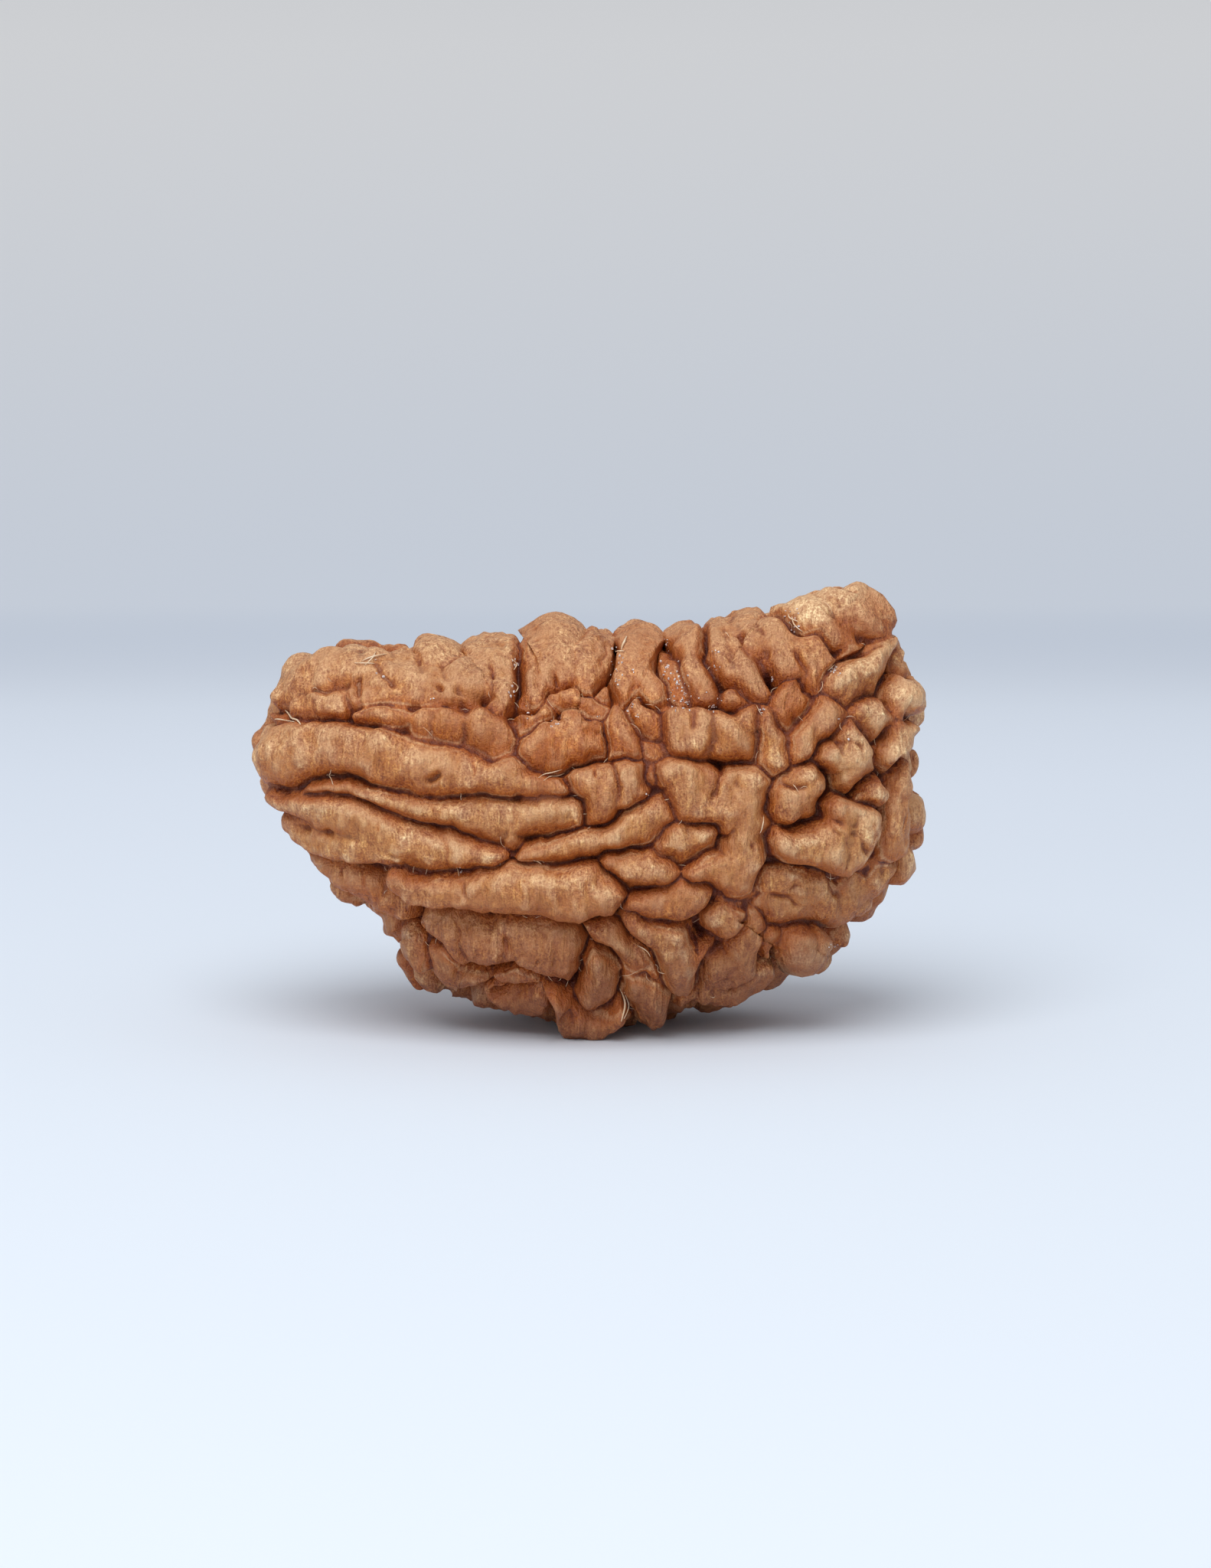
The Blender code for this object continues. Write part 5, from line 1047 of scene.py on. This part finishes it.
shell_skin, skin, shader = new_material("rudraksha_skin")
where = in_millimetres(skin)
print("the skin is measured in millimetres")

# %% Bent places
def bent_by(tree, where, size, strength, seed):
    """The same places pushed about by noise, so that what is laid on them gets wavy."""
    moved = tree.nodes.new("ShaderNodeMapping")
    tree.links.new(where, moved.inputs["Vector"])
    moved.inputs["Location"].default_value = (seed, seed, seed)
    moved.inputs["Scale"].default_value = [1 / size] * 3
    noise = tree.nodes.new("ShaderNodeTexNoise")
    tree.links.new(moved.outputs[0], noise.inputs["Vector"])
    noise.inputs["Scale"].default_value = 1.0
    noise.inputs["Detail"].default_value = 2.0
    pushed = tree.nodes.new("ShaderNodeVectorMath")
    pushed.operation = "MULTIPLY_ADD"
    tree.links.new(noise.outputs["Color"], pushed.inputs[0])
    pushed.inputs[1].default_value = [strength] * 3
    tree.links.new(where, pushed.inputs[2])
    return pushed.outputs[0]


wavy = bent_by(skin, where, 1.2, 0.35, 3.0)
print("the strands will be wavy")

# %% The colours of the skin
PALE = (0.72, 0.41, 0.208, 1)
TAN = (0.575, 0.24, 0.077, 1)
SALMON = (0.51, 0.192, 0.052, 1)
ORANGE = (0.435, 0.105, 0.013, 1)
BROWN = (0.25, 0.080, 0.032, 1)
GROOVE_BROWN = (0.12, 0.018, 0.008, 1)
NEARLY_BLACK = (0.035, 0.007, 0.004, 1)
print("seven colours, from", PALE[:3], "to", NEARLY_BLACK[:3])

# %% Mottling in four sizes
clouds = mottling(skin, where, 2.6, 2.0, 3.0)
patches = mottling(skin, wavy, 0.9, 5.0, 11.0, sharp=0.62)
# the two finest noises are grain, and also stand for tiny glints on the fuzz: painted highlight
flecks = mottling(skin, wavy, 0.22, 3.0, 31.0, sharp=0.6)
specks = mottling(skin, where, 0.08, 2.0, 23.0, sharp=0.65)
colour = tinted_by(skin, between(skin, clouds, 0.38, 0.62), TAN, SALMON)
stained = sums(skin, "MULTIPLY_ADD", between(skin, patches, 0.42, 0.62), 0.55, measured(skin, "stain"))
colour = tinted_by(skin, sums(skin, "MINIMUM", stained, 0.95), colour, ORANGE)
print("four sizes of mottling, and the stain of each fold over them")

# %% [markdown]
# ## Rubbed backs, painted light and dark grooves
# Handling rubs the high places pale, and where a place faces up it is painted paler still, as
# painted light from above. The hollows keep dirt and the dried juice of the fruit, with painted
# shade over them. Both follow the attributes that were measured on the mesh, with noise added to
# them, so that no border is clean. A fold is palest where it faces up, a painted highlight, and
# reddest on the side that looks down, a painted shade. Near the floor the whole stone is browner,
# partly its own colour and partly painted shade.

# %% Rubbed backs and painted light from above
raised = sums(skin, "MULTIPLY", measured(skin, "broad_hollow"), -1.0)
# facing up makes a place paler: painted light from above, on top of the wear of the high places
raised = sums(skin, "MULTIPLY_ADD", measured(skin, "facing_up"), 0.6, raised)
raised = sums(skin, "ADD", raised, sums(skin, "MULTIPLY_ADD", patches, 2.2, -1.1))
PALEST_WEAR_AND_PAINTED_LIGHT = 0.78
wear_and_painted_light = sums(skin, "MULTIPLY", between(skin, raised, -0.15, 0.85), PALEST_WEAR_AND_PAINTED_LIGHT)
unstained = sums(skin, "MULTIPLY_ADD", measured(skin, "stain"), -0.55, 1.0)
wear_and_painted_light = sums(skin, "MULTIPLY", wear_and_painted_light, unstained)
colour = tinted_by(skin, wear_and_painted_light, colour, PALE)
# the side that looks down turns orange: painted shade, mottled by the skin's own patches
painted_shade_and_mottle = sums(skin, "MULTIPLY_ADD", patches, -1.2, 0.35)
painted_shade_and_mottle = sums(skin, "MULTIPLY_ADD", measured(skin, "facing_up"), -1.1, painted_shade_and_mottle)
colour = tinted_by(skin, sums(skin, "MULTIPLY", between(skin, painted_shade_and_mottle, -0.1, 0.7), 0.85), colour, ORANGE)
# browner towards the floor: partly the skin's own colour, partly painted shade
browner_low_and_painted_shade = sums(skin, "MULTIPLY", measured(skin, "low"), 0.68)
colour = tinted_by(skin, browner_low_and_painted_shade, colour, BROWN)
print("rubbed pale by up to", round(PALEST_WEAR_AND_PAINTED_LIGHT * 100), "%")

# %% Orange flanks with painted shade, pale rims of painted highlight, dark grooves of dirt and painted shade
uneven = sums(skin, "MULTIPLY_ADD", flecks, 0.10, sums(skin, "MULTIPLY_ADD", patches, 0.14, -0.12))
edge_of_groove = sums(skin, "ADD", measured(skin, "groove"), uneven)
# a deeper orange on the flanks next to the grooves: partly the skin's own colour, partly painted shade
flank = sums(skin, "SUBTRACT", 1.0, between(skin, edge_of_groove, 0.0, 0.45))
colour = tinted_by(skin, sums(skin, "MULTIPLY", flank, 0.85), colour, ORANGE)
# a pale line just beside each groove: painted highlight
starts = between(skin, edge_of_groove, 0.04, 0.09)
ends_again = between(skin, edge_of_groove, 0.09, 0.17)
rim = sums(skin, "SUBTRACT", starts, ends_again)
rim = sums(skin, "MULTIPLY", rim, between(skin, clouds, 0.45, 0.6))
colour = tinted_by(skin, sums(skin, "MULTIPLY", rim, 0.55), colour, PALE)
# dark red-brown in the grooves: dirt and painted shade
deep = sums(skin, "SUBTRACT", 1.0, between(skin, edge_of_groove, -0.02, 0.05))
strong = between(skin, mottling(skin, where, 1.8, 1.0, 91.0), 0.3, 0.6)
deep = sums(skin, "MULTIPLY", deep, sums(skin, "MULTIPLY_ADD", strong, 0.4, 0.6))
deep = sums(skin, "MULTIPLY", deep, between(skin, measured(skin, "narrow_hollow"), 0.0, 0.5))
colour = tinted_by(skin, deep, colour, GROOVE_BROWN)
# the broad hollows go nearly black: dirt and painted shade
pit = between(skin, measured(skin, "broad_hollow"), 0.55, 1.0)
colour = tinted_by(skin, sums(skin, "MULTIPLY", pit, 0.6), colour, NEARLY_BLACK)
print("the skin has", len(skin.nodes), "nodes so far")

# %% [markdown]
# ## Strands and grain
# The strands show as fine lines, a little darker and lower than the skin between them. Two sizes
# of stretched noise make them, and plain noise makes the grain. On dry skin a darker place is also
# a redder one, so the sum of it all works on green and blue more than on red. It goes into the
# bump as well, so that the light catches it.

# %% Strands
coarse_strands = mottling(skin, wavy, 0.2, 2.0, 5.0, (1.0, 1.6, 6.0), 0.55)
fine_strands = mottling(skin, wavy, 0.09, 2.0, 9.0, (1.0, 1.6, 8.0), 0.6)
worn = between(skin, mottling(skin, where, 1.4, 2.0, 51.0), 0.35, 0.65)
combed = sums(skin, "MULTIPLY_ADD", worn, 0.6, 0.4)


def swung_by(noise, strength):
    """A number around 1 that follows the noise, stronger where the skin is worn."""
    swing = sums(skin, "MULTIPLY", sums(skin, "SUBTRACT", noise, 0.5), combed)
    return sums(skin, "MULTIPLY_ADD", swing, strength, 1.0)


# the skin is made about a tenth darker next to the grooves: painted shade; the noises after it are grain
shade = sums(skin, "MULTIPLY_ADD", between(skin, edge_of_groove, 0.0, 0.3), 0.12, 0.9)
for noise, strength in ((clouds, 0.7), (patches, 0.55), (coarse_strands, 1.1), (fine_strands, 1.3),
                        (flecks, 1.2), (specks, 1.8)):
    shade = sums(skin, "MULTIPLY", shade, swung_by(noise, strength))
warm = skin.nodes.new("ShaderNodeCombineColor")
for channel, power in (("Red", 0.9), ("Green", 1.4), ("Blue", 1.6)):
    skin.links.new(sums(skin, "POWER", shade, power), warm.inputs[channel])
colour = tinted_by(skin, 1.0, colour, warm.outputs[0], "MULTIPLY")
# the small hollows turn brown: dirt and painted shade
small_hollow = between(skin, measured(skin, "narrow_hollow"), 0.15, 1.0)
colour = tinted_by(skin, sums(skin, "MULTIPLY", small_hollow, 0.5), colour, GROOVE_BROWN)
skin.links.new(colour, shader.inputs["Base Color"])
print("the strands darken the skin, and more so its green and blue")

# %% Roughness and bump
def bumped(tree, shine, surface, relief):
    """Lets the light see this surface as relief, this many metres high."""
    bump = tree.nodes.new("ShaderNodeBump")
    bump.inputs["Strength"].default_value = 1.0
    bump.inputs["Distance"].default_value = relief
    tree.links.new(surface, bump.inputs["Height"])
    tree.links.new(bump.outputs[0], shine.inputs["Normal"])


dry = sums(skin, "MULTIPLY_ADD", flecks, 0.35, 0.30)
skin.links.new(dry, shader.inputs["Roughness"])
shader.inputs["Specular IOR Level"].default_value = 0.5
surface = sums(skin, "MULTIPLY", coarse_strands, 0.8)
for noise, strength in ((fine_strands, 0.35), (flecks, 0.6), (specks, 0.4), (patches, 0.4)):
    surface = sums(skin, "MULTIPLY_ADD", noise, strength, surface)
bumped(skin, shader, surface, 0.00014)
finished.materials.clear()
finished.materials.append(shell_skin)
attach(shell, "root")
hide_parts("rudraksha_seed")
print("the skin has", len(skin.nodes), "nodes")

# %% [markdown]
# ## Hairs and white grains
# Fibres of the dried fruit still cling to the stone: a few long pale hairs, finer ones in the
# grooves, and white grains of dried juice in the slots of the upper edge. Blender's hair system
# could comb thousands, but here a few count, so each is a thin tapered tube. To lay one where it
# is seen, a ray is shot from the camera through the drawn place onto the stone. The fine hairs
# are strewn by a seeded draw, on every side, over the points that were measured as hollow.

# %% Where the camera will stand, and what it sees
from mathutils.bvhtree import BVHTree

DISTANCE = 1000.0
aim = to_world(np.array([[0.744, 0.0, 10.26]]))[0]
away = np.array([0.0, -math.cos(LEAN), math.sin(LEAN)]) * DISTANCE
eye = Vector(aim + away)
hull = BVHTree.FromPolygons([Vector(v.co) / MM for v in finished.vertices],
                            [tuple(f.vertices) for f in finished.polygons])


def on_stone(across, up):
    """The point of the stone seen at this drawn place, and which way its skin faces."""
    through = Vector(to_world(np.array([[across, 0.0, up]]))[0])
    point, facing, _, _ = hull.ray_cast(eye, through - eye)
    return (np.array(point), np.array(facing)) if point else (None, None)


print("the middle of the face is at", on_stone(0.3, 9.4)[0].round(1), "mm")

# %% One hair
SIDES = 5  # corners of a hair's round
STEPS = 9  # points along a long hair


def hair(bm, path, thick):
    """A thin tube along these points, tapered at both ends, in millimetres."""
    path = np.array(path)
    along = unit(np.gradient(path, axis=0))
    side = unit(np.cross(along, [0.3, 1.0, 0.2]))
    over = np.cross(along, side)
    rings = []
    for k, centre in enumerate(path):
        wide = thick * (0.3 + 0.7 * math.sin(math.pi * (k + 0.6) / (len(path) + 0.2)))
        turns = [2 * math.pi * j / SIDES for j in range(SIDES)]
        ring = [centre + wide * (math.cos(a) * side[k] + math.sin(a) * over[k]) for a in turns]
        rings.append([bm.verts.new(Vector(corner) * MM) for corner in ring])
    for a, b in zip(rings, rings[1:]):
        for j in range(SIDES):
            bm.faces.new((a[j], a[(j + 1) % SIDES], b[(j + 1) % SIDES], b[j]))
    bm.faces.new(rings[0][::-1])
    bm.faces.new(rings[-1])


def averaged_path(path):
    """The same path without its sharpest bends."""
    path = np.array(path)
    for _ in range(2):
        path[1:-1] = path[1:-1] * 0.5 + (path[:-2] + path[2:]) * 0.25
    return path


def evenly(rows, steps=STEPS):
    """More points along the lines through these few."""
    rows = np.array(rows, float)
    t = np.linspace(0, len(rows) - 1, steps)
    return np.stack([np.interp(t, range(len(rows)), rows[:, k]) for k in range(rows.shape[1])], 1)


print("a long hair has", SIDES * STEPS, "points")

# %% The long hairs, where they are seen
# thickness, how far the middle stands off, and where it runs: across, up
LONG_HAIRS = [
    (0.035, 0.1, [(-8.95, 15.1), (-8.4, 15.28), (-7.95, 15.42)]),
    (0.025, 0.08, [(-9.2, 15.05), (-8.8, 15.0), (-8.4, 15.02)]),
    (0.025, 0.12, [(-8.8, 14.95), (-8.5, 15.2), (-8.35, 15.5)]),
    (0.045, 0.12, [(-11.95, 13.2), (-11.6, 12.85), (-11.35, 12.6)]),
    (0.03, 0.1, [(-12.5, 12.85), (-12.1, 12.8), (-11.6, 12.7)]),
    (0.022, 0.1, [(-10.15, 10.85), (-10.17, 10.5), (-10.05, 10.2)]),
    (0.02, 0.08, [(-5.0, 9.9), (-4.98, 9.6)]), (0.02, 0.08, [(-5.15, 6.95), (-5.05, 6.6)]),
    (0.025, 0.08, [(-2.1, 7.25), (-1.95, 7.1), (-1.8, 7.05)]),
    (0.04, 0.1, [(1.33, 2.15), (1.45, 1.5), (1.35, 0.85)]),
    (0.025, 0.1, [(1.5, 2.0), (1.58, 1.4), (1.45, 0.95)]),
    (0.025, 0.12, [(2.0, 3.85), (2.3, 3.6), (2.5, 3.4)]),
    (0.022, 0.12, [(2.7, 3.1), (2.9, 2.9), (3.1, 2.75)]),
    (0.04, 0.12, [(1.6, 16.1), (1.55, 15.8), (1.38, 15.55)]),
    (0.03, 0.1, [(1.1, 15.5), (1.35, 15.45), (1.5, 15.5)]),
    (0.022, 0.1, [(7.0, 9.0), (6.9, 8.65), (6.85, 8.3)]), (0.02, 0.08, [(11.4, 12.05), (11.45, 11.8)]),
    (0.025, 0.06, [(-1.9, 10.5), (-1.5, 10.75), (-1.0, 10.85)]),
    (0.02, 0.06, [(-1.7, 10.4), (-1.3, 10.6), (-0.9, 10.7)]),
    (0.03, 0.08, [(-3.0, 15.2), (-2.85, 15.0), (-2.9, 14.8)]),
    (0.03, 0.08, [(-2.95, 14.3), (-2.8, 14.1), (-2.85, 13.9)]),
    (0.03, 0.1, [(8.0, 17.0), (8.15, 16.8), (8.4, 16.7)]),
    (0.03, 0.1, [(8.15, 16.9), (8.3, 16.6), (8.55, 16.3)]),
]
rng = np.random.default_rng(SEED)
hairs = bmesh.new()
for thick, stand, rows in LONG_HAIRS:
    path = []
    for k, (across, up) in enumerate(evenly(rows)):
        point, facing = on_stone(across, up)
        if point is not None:
            bow = math.sin(math.pi * k / (STEPS - 1))
            path.append(point + facing * (0.02 + stand * bow) + rng.normal(0, 0.008, 3))
    if len(path) > 3:
        hair(hairs, averaged_path(path), thick)
print(len(LONG_HAIRS), "long hairs")

# %% Fine hairs in the grooves, all round the stone
FINE_HAIRS = 200
sites = np.empty(len(finished.vertices) * 3, np.float32)
finished.vertices.foreach_get("co", sites)
sites = sites.reshape(-1, 3) / MM
depth_here = np.empty(len(sites), np.float32)
finished.attributes["narrow_hollow"].data.foreach_get("value", depth_here)
chosen = rng.choice(np.flatnonzero((depth_here > 0.5) & (sites[:, 2] > 1.0)), FINE_HAIRS, replace=False)
for site in chosen:
    facing = np.array(finished.vertices[site].normal)
    way = unit(np.cross(facing, rng.normal(size=3))[None])[0]
    length = rng.uniform(0.2, 0.7)
    bend = unit(np.cross(facing, way)[None])[0] * rng.normal(0, 0.3)
    path = [sites[site] + way * length * (t - 0.5) + bend * length * t * t
            + facing * (0.10 + 0.10 * math.sin(math.pi * t)) for t in np.linspace(0, 1, 6)]
    hair(hairs, path, rng.uniform(0.007, 0.013))
hair_mesh = bpy.data.meshes.new("hairs")
hairs.to_mesh(hair_mesh)
hairs.free()
hair_mesh.polygons.foreach_set("use_smooth", np.ones(len(hair_mesh.polygons), bool))
clinging_hairs = bpy.data.objects.new("clinging_hairs", hair_mesh)
bpy.context.scene.collection.objects.link(clinging_hairs)
print(len(chosen), "fine hairs,", len(hair_mesh.polygons), "faces in all")

# %% Where the white grains are
# across, up, how far they are strewn, how many
GRAINS = [
    (1.3, 14.9, 0.22, 12), (1.3, 15.4, 0.15, 6), (1.2, 14.4, 0.12, 5), (3.2, 14.95, 0.12, 6),
    (3.5, 14.5, 0.2, 12), (3.65, 14.0, 0.25, 14), (3.8, 13.6, 0.3, 22), (3.3, 15.8, 0.12, 5),
    (5.0, 13.3, 0.2, 9), (6.9, 13.35, 0.1, 4), (7.35, 14.4, 0.12, 4), (-1.3, 12.7, 0.14, 7),
    (9.8, 14.8, 0.16, 10), (8.0, 16.9, 0.2, 9), (8.3, 16.5, 0.12, 5), (-2.9, 15.0, 0.14, 6),
    (-2.9, 14.0, 0.12, 6), (5.15, 15.4, 0.1, 4), (5.2, 14.9, 0.1, 4), (9.8, 4.0, 0.15, 5),
    (2.0, 12.95, 0.06, 3), (-2.3, 13.15, 0.12, 4), (-8.3, 14.6, 0.2, 3), (1.7, 13.4, 0.12, 4),
    (2.4, 9.9, 0.1, 2), (-5.0, 6.85, 0.1, 3), (10.1, 12.5, 0.2, 2), (-6.1, 13.6, 0.1, 2),
    (0.5, 12.9, 0.1, 2),
]
print("grains in", len(GRAINS), "places")

# %% White grains in the slots
grains = bmesh.new()
count = 0
for across, up, strewn, many in GRAINS:
    for _ in range(many):
        point, facing = on_stone(*(np.array([across, up]) + rng.normal(0, strewn, 2)))
        if point is None:
            continue
        size = rng.uniform(0.02, 0.055)
        lump = bmesh.ops.create_icosphere(grains, subdivisions=1, radius=1.0)["verts"]
        stretch = rng.uniform(0.6, 1.5, 3)
        for corner in lump:
            spread = np.array(corner.co) * stretch * rng.uniform(0.7, 1.2)
            corner.co = Vector(point + facing * 0.4 * size + spread * size) * MM
        count += 1
grain_mesh = bpy.data.meshes.new("grains")
grains.to_mesh(grain_mesh)
grains.free()
white_grains = bpy.data.objects.new("white_grains", grain_mesh)
bpy.context.scene.collection.objects.link(white_grains)
print(count, "white grains")

# %% Their finish
def mottled_finish(name, noise, step, colours, roughness, relief):
    """A finish mottled between two colours, by a noise of (size, detail, seed)."""
    finish, tree, shine = new_material(name)
    cloudy = mottling(tree, in_millimetres(tree), *noise)
    mottled = tinted_by(tree, between(tree, cloudy, *step), *colours)
    tree.links.new(mottled, shine.inputs["Base Color"])
    rough = sums(tree, "MULTIPLY_ADD", cloudy, 0.3, roughness)
    tree.links.new(rough, shine.inputs["Roughness"])
    bumped(tree, shine, cloudy, relief)
    return finish


straw = mottled_finish("straw", (0.3, 3.0, 2.0), (0.35, 0.65),
                       ((0.80, 0.55, 0.33, 1), (0.90, 0.72, 0.52, 1)), 0.3, 0.00001)
chalk = mottled_finish("white_grain", (0.12, 2.0, 4.0), (0.4, 0.65),
                       ((0.55, 0.42, 0.38, 1), (0.92, 0.88, 0.86, 1)), 0.08, 0.00002)
for piece, finish in ((clinging_hairs, straw), (white_grains, chalk)):
    piece.data.materials.append(finish)
    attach(piece, "root")
    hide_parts("rudraksha_seed")
print("hairs and grains are finished")

# %% [markdown]
# ## The floor
# The stone stands on a plain pale floor. A studio sheet that curves up behind the stone would give
# the same picture from the front, but it would hide the stone from behind. So the floor is one
# large flat face of bluish paper, painted with light that fades from near white in front to a cool
# grey behind.

# %% A large flat floor
floor_mesh = bpy.data.meshes.new("floor")
bm = bmesh.new()
bmesh.ops.create_grid(bm, x_segments=1, y_segments=1, size=6.0)
bm.to_mesh(floor_mesh)
bm.free()
floor = bpy.data.objects.new("floor", floor_mesh)
bpy.context.scene.collection.objects.link(floor)
floor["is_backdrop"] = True
print("the floor is", 2 * floor_mesh.vertices[-1].co.x, "m wide")

# %% Paper painted with light that fades to grey behind the stone
# how far behind the stone's middle, in millimetres, and the colour there, paper and painted light
FLOOR_PAPER_AND_PAINTED_LIGHT = [(-150, (0.77, 0.84, 0.93)), (-60, (0.78, 0.85, 0.94)), (0, (0.79, 0.87, 0.97)),
               (50, (0.76, 0.83, 0.94)), (66, (0.73, 0.80, 0.90)), (76, (0.64, 0.70, 0.80)),
               (90, (0.59, 0.66, 0.77)), (240, (0.44, 0.55, 0.74))]
paper, paper_tree, paper_shader = new_material("paper_with_painted_light")
spot = paper_tree.nodes.new("ShaderNodeTexCoord")
split = paper_tree.nodes.new("ShaderNodeSeparateXYZ")
paper_tree.links.new(spot.outputs["Object"], split.inputs[0])
nearest = FLOOR_PAPER_AND_PAINTED_LIGHT[0][0]
reach = FLOOR_PAPER_AND_PAINTED_LIGHT[-1][0] - nearest
along = sums(paper_tree, "MULTIPLY_ADD", split.outputs["Y"], 1000.0 / reach, -nearest / reach)
ramp = paper_tree.nodes.new("ShaderNodeValToRGB")
ramp.color_ramp.interpolation = "B_SPLINE"
paper_tree.links.new(along, ramp.inputs[0])
for k, (far, tone) in enumerate(FLOOR_PAPER_AND_PAINTED_LIGHT):
    place_on_ramp = (far - nearest) / reach
    stop = ramp.color_ramp.elements[0] if k == 0 else ramp.color_ramp.elements.new(place_on_ramp)
    if k == len(FLOOR_PAPER_AND_PAINTED_LIGHT) - 1:
        ramp.color_ramp.elements.remove(ramp.color_ramp.elements[-1])
    stop.position = place_on_ramp
    stop.color = (*tone, 1)
paper_tree.links.new(ramp.outputs[0], paper_shader.inputs["Base Color"])
paper_shader.inputs["Roughness"].default_value = 0.9
paper_shader.inputs["Specular IOR Level"].default_value = 0.1
floor_mesh.materials.append(paper)
print("the floor turns from", FLOOR_PAPER_AND_PAINTED_LIGHT[0][1], "to", FLOOR_PAPER_AND_PAINTED_LIGHT[-1][1])

# %% [markdown]
# ## Light
# A large soft lamp hangs above and a little in front, which gives bright backs, dark grooves and
# a wide soft shadow. A faint one stands in front, on the left. A single hard lamp would draw an
# edged shadow, so the world fills in as well: a plain white, brighter above than at the sides.
# The camera sees the world in one even grey, wherever the floor ends.

# %% Lamps
def soft_lamp(name, place, aim, size, power):
    """A round lamp, placed and sized in millimetres. The camera doesn't see it."""
    lamp = bpy.data.lights.new(name, "AREA")
    lamp.shape = "DISK"
    lamp.size = size * MM
    lamp.energy = power
    made = bpy.data.objects.new(name, lamp)
    made.location = Vector(place) * MM
    made.rotation_euler = (Vector(aim) * MM - made.location).to_track_quat("-Z", "Y").to_euler()
    made.visible_camera = False
    bpy.context.scene.collection.objects.link(made)
    return made


soft_lamp("lamp_above", place=(-40, -160, 305), aim=(0, 0, 5), size=300, power=0.72)
soft_lamp("lamp_front", place=(-160, -330, 60), aim=(0, 0, 8), size=200, power=0.16)
print("two soft lamps")

# %% The world
GLOW_AT_SIDES = 0.28
GLOW_ABOVE = 0.60
GREY_SEEN = 0.56
world = bpy.data.worlds.new("studio")
world.use_nodes = True
sky = world.node_tree
background = sky.nodes["Background"]
background.inputs["Color"].default_value = (0.97, 0.98, 1.0, 1)
outlook = sky.nodes.new("ShaderNodeTexCoord")
upward = sky.nodes.new("ShaderNodeSeparateXYZ")
sky.links.new(outlook.outputs["Generated"], upward.inputs[0])
above = between(sky, upward.outputs["Z"], 0.0, 0.9)
glow = sums(sky, "MULTIPLY_ADD", above, GLOW_ABOVE - GLOW_AT_SIDES, GLOW_AT_SIDES)
seen = sky.nodes.new("ShaderNodeLightPath")
kept = sky.nodes.new("ShaderNodeMix")
sky.links.new(seen.outputs["Is Camera Ray"], kept.inputs["Factor"])
sky.links.new(glow, kept.inputs[2])
kept.inputs[3].default_value = GREY_SEEN
sky.links.new(kept.outputs[0], background.inputs["Strength"])
bpy.context.scene.world = world
bpy.context.scene.view_settings.view_transform = "Standard"
print("the world glows from", GLOW_AT_SIDES, "at the sides to", GLOW_ABOVE, "above")

# %% [markdown]
# ## Camera
# A long lens, a good way off, looks down at the stone by as much as the strokes lean. Its frame
# is as wide as the drawing: 1582 by 2048 dots at a little under 33 dots to the millimetre.

# %% Camera at the drawing's angle
DOTS_PER_MM = 32.93
camera_data = bpy.data.cameras.new("camera")
camera_data.lens = camera_data.sensor_width * DISTANCE / (2048 / DOTS_PER_MM)
camera_data.clip_start = 0.01
camera_data.clip_end = 10.0
camera = bpy.data.objects.new("camera", camera_data)
camera.location = eye * MM
camera.rotation_euler = (-Vector(away)).to_track_quat("-Z", "Y").to_euler()
bpy.context.scene.collection.objects.link(camera)
bpy.context.scene.camera = camera
print("the lens is", round(camera_data.lens), "mm long")

# %% [markdown]
# ## Sizes and the end
# The size of the dressed stone's box is printed. The dressed stone has to stay in the box of the
# measured solid.

low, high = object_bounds()
print("dressed", [round((b - a) / MM, 2) for a, b in zip(low, high)], "mm")
